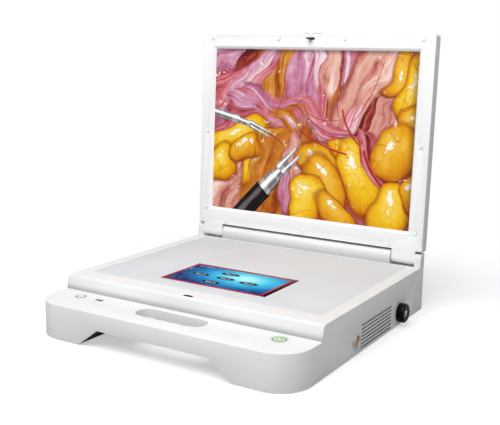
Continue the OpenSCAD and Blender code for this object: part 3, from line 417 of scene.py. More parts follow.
@dataclass(frozen=True)
class Glazed(Finish):
    """Dark glass or a glossy window: deep colour under a clear hard face."""

    colour: Colour
    roughness: float = 0.08
    gloss: float = 0.2

    def wire(self, g: Graph) -> None:
        """Wires a smear into the colour and the gloss."""
        smear = g.noise(g.place(), 25.0, 5.0, 0.6, 0.8)
        shade = g.mix(g.span(smear, 0.35, 0.75), self.colour, toned(self.colour, 1.5, 0.002))
        rough = g.span(smear, 0.3, 0.8, self.roughness, self.roughness * 2.2)
        g.set(Base_Color=shade, Specular_IOR_Level=self.gloss, Roughness=rough)


@dataclass(frozen=True)
class Glowing(Finish):
    """A light ring or a lit mark: translucent plastic with light behind it."""

    colour: Colour
    glow: float

    def wire(self, g: Graph) -> None:
        """Wires patches into the light and the relief."""
        patch = g.noise(g.place(), 400.0, 3.0)
        shade = g.clouded(patch, self.colour, 0.75)
        g.set(Base_Color=shade, Emission_Color=shade, Emission_Strength=self.glow, Roughness=0.3)
        g.bump(patch, 0.02, 0.4)


@dataclass(frozen=True)
class Circuit(Finish):
    """A circuit board: solder mask over copper tracks."""

    mask: Colour
    track: Colour
    pad: Colour = srgb(190, 160, 90)

    def wire(self, g: Graph) -> None:
        """Wires the tracks between fields of mask, and small plated pads."""
        where = g.place()
        feeds = {"Vector": where, "Scale": 160.0, "Mortar Size": 0.06, "Color1": self.mask,
                 "Color2": toned(self.mask, 0.8), "Mortar": self.track}
        fields = g.add("TexBrick", feeds, offset=0.37, squash=0.7).outputs
        pads = g.span(g.noise(where, 700.0, 1.0), 0.66, 0.7)
        g.set(Base_Color=g.mix(pads, fields["Color"], self.pad), Roughness=0.35)
        g.bump(fields["Fac"], 0.04, 0.6)


class Tissue(Enum):
    """The kinds of surface in the display's picture, as colours from crease to crown."""

    MAUVE = ((134, 58, 82), (184, 108, 138), (212, 152, 176), (244, 224, 234))
    ROSE = ((150, 50, 60), (198, 98, 110), (222, 142, 150), (250, 218, 216))
    FLESH = ((164, 84, 76), (212, 142, 128), (230, 178, 162), (250, 224, 212))
    AMBER = ((128, 54, 14), (178, 96, 28), (206, 132, 48), (240, 192, 112))
    YELLOW = ((164, 78, 6), (216, 142, 14), (243, 192, 32), (255, 238, 120))
    GOLDEN = ((148, 66, 8), (202, 120, 16), (232, 168, 32), (253, 218, 100))
    CAVE = ((44, 8, 10), (96, 20, 24), (146, 48, 44), (206, 120, 104))
    BLOOD = ((92, 8, 16), (150, 20, 28), (184, 44, 44), (230, 120, 112))
    CHROME = ((52, 46, 48), (136, 132, 136), (206, 206, 210), (255, 255, 255))
    BLACK = ((8, 6, 7), (22, 18, 20), (36, 30, 32), (104, 94, 94))
    PALE = ((168, 96, 112), (222, 168, 180), (240, 208, 214), (255, 244, 246))

    def shade(self, g: Graph, lit: Socket) -> Socket:
        """Returns this surface's colour where it is so light."""
        return g.ramp(lit, list(zip((0.05, 0.32, 0.62, 0.97), (srgb(*c) for c in self.value))))

    @property
    def cut(self) -> str:
        """How the picture shapes it: fat as lobes, vessels as tubes, instruments as rods."""
        cuts = {"YELLOW": "Lobe", "GOLDEN": "Lobe", "BLOOD": "Tube", "CHROME": "Rod",
                "BLACK": "Rod"}
        return cuts.get(self.name, "Fold")

    @property
    def title(self) -> str:
        """The name of its material or node group."""
        return f"Picture{self.name.title()}{self.cut}"


@dataclass(frozen=True)
class Zone:
    """A fold or lobe in the picture's ground, in millimetres from the picture's lower left."""

    tissue: Tissue
    x: float
    y: float
    length: float
    width: float
    turn: float


@dataclass(frozen=True)
class Shown(Finish):
    """A vessel or an instrument's bar in the picture, shaded across the piece's UV map."""

    tissue: Tissue
    glow: float = 0.52

    def tube(self, g: Graph) -> Socket:
        """Returns how light a round vessel is across its width."""
        b = g.scaled(g.split(g.uv())[1], 2.0, -1.0)
        height = g.math("SQRT", g.math("SUBTRACT", 1.0, g.math("MULTIPLY", b, b), clamp=True))
        lit = g.math("ADD", g.scaled(height, 0.72, -0.06), g.math("MULTIPLY", b, 0.34))
        smear = g.noise(g.drift(g.uv(), (5.0, 2.0, 1.0), 30.0), 1.0, 4.0, 0.6)
        return g.math("ADD", lit, g.scaled(smear, 0.5, -0.25), clamp=True)

    def rod(self, g: Graph) -> Socket:
        """Returns how light a polished bar is: a sharp light along it between darker bands."""
        along, across, _ = g.split(g.uv())
        across = g.math("ADD", across, g.scaled(g.noise(g.place(), 60.0), 0.10, -0.05))
        peak = g.math("ABSOLUTE", g.scaled(across, 1.0, -0.64))
        low = g.math("ABSOLUTE", g.scaled(across, 1.0, -0.14))
        lit = g.math("ADD", g.span(peak, 0.06, 0.24, 0.66, 0.0), g.span(low, 0.0, 0.14, 0.26, 0.0))
        rings = g.noise(g.drift(g.uv(), (3.2, 0.2, 1.0), 18.0), 1.0, 1.0)
        lit = g.math("ADD", lit, g.span(rings, 0.50, 0.56, 0.0, 0.16))
        lit = g.math("SUBTRACT", lit, g.span(along, 0.9, 1.0, 0.0, 0.2))
        return g.math("ADD", lit, g.span(across, 0.0, 0.5, 0.06, 0.30), clamp=True)

    def wire(self, g: Graph) -> None:
        """Wires the surface's colours over its light."""
        light = self.tube if self.tissue.cut == "Tube" else self.rod
        g.show(self.tissue.shade(g, light(g)), self.glow)


@dataclass
class Tissues:
    """The ground of the display's picture: soft folds and round lobes that run into each other."""

    zones: tuple[Zone, ...]
    width: float
    height: float
    sway: float = 44.0
    light: Pair = (-0.13, 0.22)
    glow: float = 0.52
    fine: Triple = (1.3, 11.0, 1.0)
    broad: Triple = (0.8, 1.9, 1.0)
    base: Colour = srgb(186, 92, 100)
    gap: Colour = srgb(126, 40, 20)
    vein: Colour = srgb(186, 40, 34)
    # Colour of the painted shadow along the picture's top and right edges.
    dusk: Colour = srgb(60, 30, 34)
    wet: Colour = (1.0, 1.0, 0.94, 1.0)
    glint: Colour = (1.0, 0.97, 0.96, 1.0)
    veins: tuple[Triple, ...] = ((17.0, 0.009, 0.55), (38.0, 0.014, 0.35))
    inputs: tuple[tuple[str, str], ...] = (
        ("Flat", "Vector"), ("Under", "Color"), ("Mottle", "Float"), ("Place", "Vector"),
        ("Turn", "Vector"), ("Size", "Vector"), ("Shift", "Vector"), ("Light", "Vector"))
    groups: dict[Tissue, bpy.types.NodeTree] = field(default_factory=dict)

    def threads(self, g: Graph, own: Socket, scale: Triple, detail: float) -> Socket:
        """Returns a noise stretched along one fold, different for each fold."""
        where = g.vector("MULTIPLY_ADD", own, scale, g.given["Shift"])
        return g.noise(where, 1.0, detail, 0.6, 0.25)

    def fold(self, g: Graph, own: Socket, far: Socket, tissue: Tissue) -> Socket:
        """Returns the colour with a soft-edged fold on it."""
        fine = self.threads(g, own, self.fine, 8.0)
        broad = self.threads(g, own, self.broad, 3.0)
        lit = g.math("ADD", g.scaled(broad, 1.9, -0.48), g.scaled(fine, 1.0, -0.47))
        lit = g.math("ADD", lit, g.scaled(g.given["Mottle"], 0.5, -0.25))
        far = g.math("ADD", far, g.scaled(fine, 0.9, -0.45))
        lit = g.math("SUBTRACT", lit, g.span(far, 0.45, 1.0, 0.0, 0.34), clamp=True)
        return g.mix(g.span(far, 0.7, 1.0, 1.0, 0.0), g.given["Under"], tissue.shade(g, lit))

    def lobe(self, g: Graph, own: Socket, far: Socket, tissue: Tissue) -> Socket:
        """Returns the colour with a round lobe on it, lit from the upper left."""
        light, mottle = g.given["Light"], g.given["Mottle"]
        height = g.math("SQRT", g.math("SUBTRACT", 1.0, g.math("MULTIPLY", far, 0.94), clamp=True))
        lit = g.math("ADD", g.scaled(height, 0.74, -0.02), g.scaled(mottle, 0.4, -0.2))
        lit = g.math("ADD", lit, g.vector("DOT_PRODUCT", own, light))
        lit = g.math("SUBTRACT", lit, g.span(far, 0.6, 1.0, 0.0, 0.16), clamp=True)
        under = g.mix(g.span(far, 1.0, 1.3, 0.55, 0.0), g.given["Under"], self.gap)
        away = g.vector("LENGTH", g.vector("MULTIPLY_ADD", light, (-1.7,) * 3, own))
        away = g.math("ADD", away, g.scaled(mottle, 1.4, -0.7))
        shine = g.mix(g.span(away, 0.07, 0.17, 0.95, 0.0), tissue.shade(g, lit), self.wet)
        return g.mix(g.span(far, 0.93, 1.02, 1.0, 0.0), under, shine)

    def group(self, tissue: Tissue) -> bpy.types.NodeTree:
        """Returns the node group of one kind of zone, and makes it at its first use."""
        if tissue not in self.groups:
            g = Graph.of_group(tissue.title, self.inputs)
            feeds = {"Vector": g.given["Flat"], "Location": g.given["Place"],
                     "Rotation": g.given["Turn"], "Scale": g.given["Size"]}
            own = g.add("Mapping", feeds, vector_type="TEXTURE").outputs["Vector"]
            shape = self.lobe if tissue.cut == "Lobe" else self.fold
            result = shape(g, own, g.vector("DOT_PRODUCT", own, own), tissue)
            g.feed(g.tree.nodes.new("NodeGroupOutput").inputs[0], result)
            self.groups[tissue] = g.tree
        return self.groups[tissue]

    def cover(self, g: Graph, flat: Socket, mottle: Socket, under: object, index: int) -> Socket:
        """Lays one zone over the colour that is under it."""
        zone = self.zones[index]
        turn = math.radians(zone.turn)
        aside, above = self.light
        light = (aside * math.cos(turn) + above * math.sin(turn),
                 above * math.cos(turn) - aside * math.sin(turn), 0)
        feeds = {"Flat": flat, "Mottle": mottle, "Under": under, "Place": (zone.x, zone.y, 0),
                 "Turn": (0, 0, turn), "Size": (zone.length / 2, zone.width / 2, 1),
                 "Shift": (index * 3.7, index * 1.9, 0.5), "Light": light}
        return g.add("Group", feeds, node_tree=self.group(zone.tissue)).outputs["Result"]

    def reaches(self, zone: Zone, low: Vector, high: Vector) -> bool:
        """Says whether a zone shows in a tile between two corners."""
        cos, sin = math.cos(math.radians(zone.turn)), math.sin(math.radians(zone.turn))
        spare = 0.3 * self.sway
        half_w = math.hypot(zone.length * cos, zone.width * sin) * 0.55 + spare
        half_h = math.hypot(zone.length * sin, zone.width * cos) * 0.55 + spare
        return (low.x - half_w < zone.x < high.x + half_w
                and low.y - half_h < zone.y < high.y + half_h)

    def swayed(self, g: Graph, where: Socket) -> Socket:
        """Returns the picture's coordinates in millimetres, bent by a slow noise."""
        middle = (-self.sway / 2, -self.sway / 2, 0)
        full = g.vector("MULTIPLY_ADD", g.uv(), (self.width, self.height, 0), middle)
        warp = g.noise(where, 18.0, 1.0, output="Color")
        return g.vector("MULTIPLY_ADD", warp, (self.sway, self.sway, 0), full)

    def tile(self, name: str, low: Vector, high: Vector) -> Material:
        """Returns the material of one tile, which holds only the zones that reach it."""
        g = Graph.of_material(name)
        where = g.place()
        flat = self.swayed(g, where)
        mottle = g.noise(where, 100.0, 5.0, 0.62, 0.6)
        shown = [i for i, zone in enumerate(self.zones) if self.reaches(zone, low, high)]
        LOG.info("%s shows %d zones", name, len(shown))
        colour: object = self.base
        for index in shown:
            colour = self.cover(g, flat, mottle, colour, index)
        for scale, thin, share in self.veins:
            vein = g.math("ABSOLUTE", g.scaled(g.noise(where, scale, 1.0, 0.5, 1.2), 1.0, -0.5))
            vein = g.math("MULTIPLY", g.span(vein, thin * 0.3, thin, share, 0.0),
                          g.span(g.noise(where, scale * 0.8, 2.0), 0.48, 0.58))
            colour = g.mix(vein, colour, self.vein)
        glint = g.math("MULTIPLY", g.span(g.noise(where, 120.0, 3.0, 0.6, 0.8), 0.64, 0.68),
                       g.span(g.noise(where, 34.0, 2.0), 0.50, 0.60))
        colour = g.mix(glint, colour, self.glint)
        # Painted shadow of the bezel's rim: the picture darkens along its top and right edges.
        across, above, _ = g.split(g.uv())
        edge = g.math("MAXIMUM", *(g.span(v, 0.965, 1.0, 0.0, 0.6) for v in (across, above)))
        g.show(g.mix(edge, colour, self.dusk), self.glow)
        return g.material


@dataclass(frozen=True)
class MenuGround(Finish):
    """The touch display's lit ground: deep blue with spray on the left and a pale glow."""

    glow_x: float
    glow_y: float
    reach: float
    spray: Colour = srgb(150, 214, 240)

    def wire(self, g: Graph) -> None:
        """Wires the glow's colours from its middle outwards, and the spray over them."""
        where = g.place()
        x, y, _ = g.split(where)
        dx = g.math("MULTIPLY", g.math("SUBTRACT", x, self.glow_x), 0.62)
        dy = g.math("SUBTRACT", y, self.glow_y)
        far = g.math("SQRT", g.math("ADD", g.math("MULTIPLY", dx, dx), g.math("MULTIPLY", dy, dy)))
        share = g.math("ADD", g.math("DIVIDE", far, self.reach),
                       g.math("MULTIPLY", g.noise(where, 70.0, 4.0), 0.14))
        shade = g.ramp(share, [(0.14, srgb(176, 242, 248)), (0.40, srgb(78, 200, 228)),
                               (0.72, srgb(18, 124, 186)), (1.0, srgb(4, 40, 100))])
        lines = g.span(g.cells(where, 130.0, "DISTANCE_TO_EDGE"), 0.0, 0.07, 1.0, 0.0)
        left = g.span(x, self.glow_x - 2.1 * self.reach, self.glow_x - 0.5 * self.reach, 1.0, 0.0)
        spray = g.math("MULTIPLY", g.math("MULTIPLY", lines, left),
                       g.span(g.noise(where, 60.0, 3.0), 0.46, 0.62))
        g.show(g.mix(g.math("MULTIPLY", spray, 0.75), shade, self.spray), 0.6, 0.02)


@dataclass(frozen=True)
class LitInk(Finish):
    """A plain mark on a lit display: one colour with the faint grid of its pixels."""

    colour: Colour
    glow: float = 0.5

    def wire(self, g: Graph) -> None:
        """Wires the grid into the colour."""
        grid = g.noise(g.place(), 900.0, 1.0)
        g.show(g.clouded(grid, self.colour, 0.8, 0.35, 0.65), self.glow, 0.02)


def only(*objects: bpy.types.Object) -> None:
    """Selects these objects and nothing else, and makes the first one active."""
    bpy.ops.object.select_all(action="DESELECT")
    for item in objects:
        item.select_set(True)
    bpy.context.view_layer.objects.active = objects[0]


class Bench:
    """Shapes one mesh with Blender's own operators, and leaves it at its place in the row frame.

    Attributes:
        flat: Faces of a copied node that meet at less than this many degrees become one.
        sharp: Edges sharper than this many degrees are rounded.
        copy_weld: Corners of a copied node that are closer than this become one.
        weld: Corners of any other mesh that are closer than this become one.
    """

    flat: float = 1.0
    sharp: float = 35.0
    copy_weld: float = 0.002
    weld: float = 0.001

    def __init__(self, name: str) -> None:
        """Takes the object that an operator has just added or copied."""
        self.obj = bpy.context.view_layer.objects.active
        self.obj.name = name
        self.obj.data.name = name

    @classmethod
    def copy_of(cls, node: str, name: str) -> "Bench":
        """Copies a CAD node's mesh and joins its loose triangles into whole faces.

        Args:
            node: The CAD node.
            name: The new piece's name.

        Returns:
            The copy on the bench.
        """
        only(frame["nodes"][node])
        bpy.ops.object.duplicate()
        bench = cls(name)
        bench.obj.parent = None
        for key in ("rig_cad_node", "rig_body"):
            del bench.obj[key]
        with bench.opened():
            bpy.ops.mesh.remove_doubles(threshold=cls.copy_weld * MM)
            bpy.ops.mesh.customdata_custom_splitnormals_clear()
            bpy.ops.mesh.select_all(action="SELECT")
            bpy.ops.mesh.dissolve_limited(angle_limit=math.radians(cls.flat), delimit=set())
        return bench

    @classmethod
    def added(cls, name: str, operator: Callable[..., set], **settings: object) -> "Bench":
        """Starts from what one of Blender's own operators adds."""
        bpy.ops.object.select_all(action="DESELECT")
        operator(calc_uvs=True, **settings)
        return cls(name)

    @classmethod
    def disc(cls, name: str, radius: float, segments: int = 48) -> "Bench":
        """Starts from a flat disc in the XY plane, with a radius in millimetres."""
        return cls.added(name, bpy.ops.mesh.primitive_circle_add, vertices=segments,
                         radius=radius * MM, fill_type="NGON")

    @classmethod
    def slab(cls, name: str, width: float, depth: float, height: float) -> "Bench":
        """Starts from a block centred on the origin, with sizes in millimetres."""
        return cls.added(name, bpy.ops.mesh.primitive_cube_add, size=MM).size(width, depth, height)

    @classmethod
    def sheet(cls, name: str, width: float, depth: float) -> "Bench":
        """Starts from a flat sheet in the XY plane, with sizes in millimetres."""
        return cls.added(name, bpy.ops.mesh.primitive_plane_add, size=MM).size(width, depth)

    @contextmanager
    def opened(self, test: Test | None = None) -> Iterator[None]:
        """Opens the mesh for the operators of a block, with its faces selected.

        Args:
            test: Selects only the faces whose middle and normal pass it.
        """
        if test:
            mesh = self.obj.data
            for item in (*mesh.vertices, *mesh.edges):
                item.select = False
            for face in mesh.polygons:
                face.select = test(face.center, face.normal)
        only(self.obj)
        bpy.context.tool_settings.mesh_select_mode = (False, False, True)
        bpy.ops.object.mode_set(mode="EDIT")
        if not test:
            bpy.ops.mesh.select_all(action="SELECT")
        yield
        bpy.ops.object.mode_set(mode="OBJECT")

    def size(self, x: float, y: float, z: float = 1.0) -> "Bench":
        """Stretches the whole mesh along its three axes."""
        with self.opened():
            bpy.ops.transform.resize(value=(x, y, z))
        return self

    def put(self, matrix: Matrix) -> "Bench":
        """Moves the whole mesh by a matrix, such as its place in the row frame."""
        self.obj.data.transform(matrix)
        return self

    def move(self, x: float = 0.0, y: float = 0.0, z: float = 0.0) -> "Bench":
        """Moves the whole mesh, in millimetres."""
        return self.put(shift(x, y, z))

    def turn(self, degrees: float, axis: str = "Z") -> "Bench":
        """Turns the whole mesh about one of its axes."""
        return self.put(spin(degrees, axis))

    def modify(self, kind: str, **settings: object) -> "Bench":
        """Adds a modifier, sets it and applies it."""
        only(self.obj)
        modifier = self.obj.modifiers.new(kind.title(), kind)
        for key, value in settings.items():
            setattr(modifier, key, value)
        bpy.ops.object.modifier_apply(modifier=modifier.name)
        return self

    def bevel(self, width: float, segments: int) -> "Bench":
        """Rounds the sharp edges, by a width in millimetres."""
        return self.modify("BEVEL", width=width * MM, segments=segments, limit_method="ANGLE",
                           angle_limit=math.radians(self.sharp), harden_normals=False,
                           use_clamp_overlap=True)

    def smooth(self, angle: float = 30.0) -> "Bench":
        """Shades the faces as one surface where they meet at less than an angle."""
        only(self.obj)
        bpy.ops.object.shade_smooth_by_angle(angle=math.radians(angle))
        return self

    def outward(self) -> "Bench":
        """Merges doubles and turns every face outwards."""
        with self.opened():
            bpy.ops.mesh.remove_doubles(threshold=self.weld * MM)
            bpy.ops.mesh.normals_make_consistent(inside=False)
        return self

    @staticmethod
    def raised(height: float) -> None:
        """Extrudes the open mesh's selected faces upwards, in millimetres."""
        bpy.ops.mesh.extrude_region_move(TRANSFORM_OT_translate={"value": (0, 0, height * MM)})

    def thicken(self, height: float) -> "Bench":
        """Raises a flat sheet or ring into a solid, in millimetres."""
        with self.opened():
            self.raised(height)
        return self.outward()

    def hollow(self, width: float) -> "Bench":
        """Leaves only a rim of a flat disc or sheet, with a width in millimetres."""
        with self.opened():
            bpy.ops.mesh.inset(thickness=width * MM)
            bpy.ops.mesh.delete(type="FACE")
        return self

    def join(self, others: list["Bench"]) -> "Bench":
        """Joins other pieces into this one."""
        if others:
            only(self.obj, *(o.obj for o in others))
            bpy.ops.object.join()
        return self

    def paint(self, material: Material) -> "Bench":
        """Gives the whole piece one material."""
        self.obj.data.materials.clear()
        self.obj.data.materials.append(material)
        return self


@dataclass
class Paints:
    """Every finish of the unit, made once and shared by its pieces."""

    finishes: dict[str, Finish] = field(default_factory=lambda: {
        "shell_white": Moulded("WhiteShell", srgb(238, 239, 239), 0.5, gloss=0.2),
        "deck_grey": Moulded("GreyDeck", srgb(222, 225, 229), 0.6, grain=1400, gloss=0.15),
        "plate_dark": Moulded("DarkPlate", srgb(66, 70, 78), 0.55, grain=900, depth=0.05),
        "rubber": Soft("FootRubber", srgb(34, 34, 36)),
        "bumper": Moulded("BumperRubber", srgb(250, 250, 250), 0.7, gloss=0.15),
        "steel": Brushed("SteelSheet", srgb(182, 184, 188)),
        "chrome": Polished("NickelPlate", srgb(222, 224, 226), 0.14),
        "brass": Polished("GoldPlate", srgb(196, 150, 52), 0.24),
        "black_plastic": Moulded("BlackPlastic", srgb(26, 26, 28), 0.48, 0.15),
        "port_black": Polished("BlackAnodised", srgb(4, 4, 5), 0.26, 0.0, 0.14),
        "glass_dark": Glazed("DarkGlass", srgb(7, 7, 8), 0.16, 0.03),
        "window_dark": Glazed("DarkWindow", srgb(52, 52, 55), 0.14),
        "ring_green": Glowing("GreenRing", srgb(92, 146, 66), 0.1),
        "ring_grey": Moulded("GreyRing", srgb(112, 114, 116), 0.4, 0.1),
        "cap_white": Moulded("WhiteCap", srgb(238, 239, 238), 0.34),
        "board": Circuit("GreenBoard", srgb(22, 92, 54), srgb(48, 126, 76)),
        "module": Brushed("ModuleSheet", srgb(170, 172, 176), 0.4, (300.0, 300.0, 300.0)),
        "engine": Polished("LampBlock", srgb(40, 40, 43), 0.5, 0.6),
        "spring": Brushed("SpringWire", srgb(170, 172, 176), 0.3, (900.0, 900.0, 900.0)),
    })
    made: dict[str, Material] = field(default_factory=dict)

    def get(self, wanted: str | Finish) -> Material:
        """Returns the material of a slot or a finish, and makes it at its first use."""
        finish = self.finishes[wanted] if isinstance(wanted, str) else wanted
        if finish.name not in self.made:
            self.made[finish.name] = finish.material()
        return self.made[finish.name]


@dataclass
class Maker:
    """A maker of some of the unit's pieces, with the finishes that it paints them with."""

    paints: Paints

    def tie(self, bench: Bench, body: str, slot: str, replaced: tuple[str, ...] = ()) -> None:
        """Ties a finished piece to its body and hides the nodes it stands for.

        Args:
            bench: The finished piece.
            body: The CAD body it rides on.
            slot: The record's material slot; not used.
            replaced: CAD nodes that it stands for.
        """
        only(bench.obj)
        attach(bench.obj, body)
        if replaced:
            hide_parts(*replaced)
        LOG.info("%s rides on %s, %d faces", bench.obj.name, body, len(bench.obj.data.polygons))

    def show(self, name: str, pieces: list[Bench], body: str, slot: str,
             finish: Finish | None = None, replaced: tuple[str, ...] = ()) -> Bench:
        """Joins like pieces into one, paints it in its own or its slot's finish and ties it."""
        bench = pieces[0].join(pieces[1:])
        bench.obj.name = name
        bench.paint(self.paints.get(finish or slot))
        self.tie(bench, body, slot, replaced)
        return bench


def on_step(centre: Vector, normal: Vector) -> bool:
    """Says whether a face of the housing is on the front of the step behind the shelf."""
    return centre.z > 41.6 * MM and normal.y < -0.3 and centre.y < -60 * MM


def in_vent(_: Vector, normal: Vector) -> bool:
    """Says whether a face of the vent is inside one of its slots."""
    return abs(normal.x) < 0.9


@dataclass
class Rounding:
    """How a CAD node is taken over with rounded edges."""

    node: str
    width: float
    segments: int = 3
    body: str = "base"
    finish: Finish | None = None
    inside: Finish | None = None
    where: Test = in_vent


@dataclass
class RoundedParts(Maker):
    """The CAD nodes that show: copies with their edges rounded as a moulding's are."""

    parts: tuple[Rounding, ...] = (
        # The step's front gets painted shadow: its white darkens towards the bottom, where it
        # meets the shelf.
        Rounding("housing", 0.8, where=on_step,
                 inside=Moulded("StepPaintedShadow", srgb(238, 239, 239), 0.5, gloss=0.2, foot=0.5,
                                rise=(0.0412, 0.0505))),
        Rounding("hinge_ears", 0.9),
        # The barrel cover's colour is painted light and shade: whiter than the shell at its top,
        # darker towards its bottom.
        Rounding("barrel_cover", 0.6,
                 finish=Moulded("BarrelGrey", srgb(250, 250, 250), 0.5, gloss=0.25, foot=0.58,
                                rise=(0.0575, 0.0745))),
        Rounding("latch_keeper", 0.1, 1, finish=Moulded("KeeperBlack", srgb(16, 16, 17), 0.6)),
        Rounding("deck_panel", 0.25, 2),
        Rounding("touch_glass", 0.25, 2),
        # The walls inside the vent's slots are painted near-black: painted shade in the slots.
        Rounding("side_vent", 0.15, 1, inside=Moulded("VentSlotPaintedShade", srgb(20, 20, 21), 0.7)),
        Rounding("bottom_plate", 0.4, 2),
        Rounding("rubber_feet", 0.3),
        Rounding("rear_panel", 0.3, 2),
        Rounding("mains_inlet", 0.5),
        Rounding("rocker_frame", 0.5),
        Rounding("rocker", 0.4, body="rocker_key"),
        Rounding("video_sockets", 0.25, 2),
        Rounding("camera_socket_ring", 0.35,
                 finish=Polished("SatinRing", srgb(206, 208, 211), 0.32, 0.5)),
        Rounding("camera_socket_insert", 0.12, 2,
                 finish=Polished("SocketGold", srgb(236, 168, 44), 0.4, 0.4)),
        Rounding("light_port", 0.3, 2),
        Rounding("light_port_bush", 0.2, 2),
        Rounding("power_ring", 0.12, 2),
        Rounding("menu_ring", 0.12, 2),
        Rounding("power_button", 0.2, body="power_key",
                 finish=Moulded("PaleGreenCap", srgb(220, 240, 208), 0.4, 0.1)),
        Rounding("menu_button", 0.2, body="menu_key"),
        Rounding("indicator_window", 0.25),
        Rounding("fan_frame", 0.3, 2),
        Rounding("lid_shell", 0.8, body="lid"),
        # The bezel is whiter than the shell: painted light, for the brighter light on the lid's
        # front.
        Rounding("lid_bezel", 0.5, body="lid",
                 finish=Moulded("BezelPaintedLight", srgb(252, 252, 252), 0.5, 0.015, gloss=0.3)),
        Rounding("lid_bumpers", 0.2, 2, "lid"),
        Rounding("latch_slider", 0.25, 2, "latch"),
        Rounding("latch_hook", 0.2, 2, "latch", Moulded("HookBlack", srgb(16, 16, 17), 0.5)),
    )

    def build(self) -> None:
        """Paints every CAD node, then makes the rounded copies that stand for some of them."""
        slots = {s["node"]: s["material_slot"] for s in frame["record"]["subparts"]}
        for node, slot in slots.items():
            materials = frame["nodes"][node].data.materials
            materials.clear()
            materials.append(self.paints.get(slot))
        for part in self.parts:
            bench = Bench.copy_of(part.node, f"{part.node}_skin")
            bench.bevel(part.width, part.segments).smooth()
            slot = slots[part.node]
            bench.paint(self.paints.get(part.finish or slot))
            # The step's front and the vent's slot walls get a second finish here: painted shade.
            if part.inside:
                bench.obj.data.materials.append(self.paints.get(part.inside))
                for face in bench.obj.data.polygons:
                    face.material_index = int(part.where(face.center, face.normal))
            self.tie(bench, part.body, slot, (part.node,))


@dataclass(frozen=True)
class Vessel:
    """A thin blood vessel in the display's picture, in millimetres from its lower left."""

    x: float
    y: float
    length: float
    width: float
    turn: float
    bend: float


@dataclass(frozen=True)
class Bar:
    """A stretch of an instrument in the picture, from one end to the other."""

    tissue: Tissue
    start: Pair
    end: Pair
    width: float
    end_share: float = 1.0


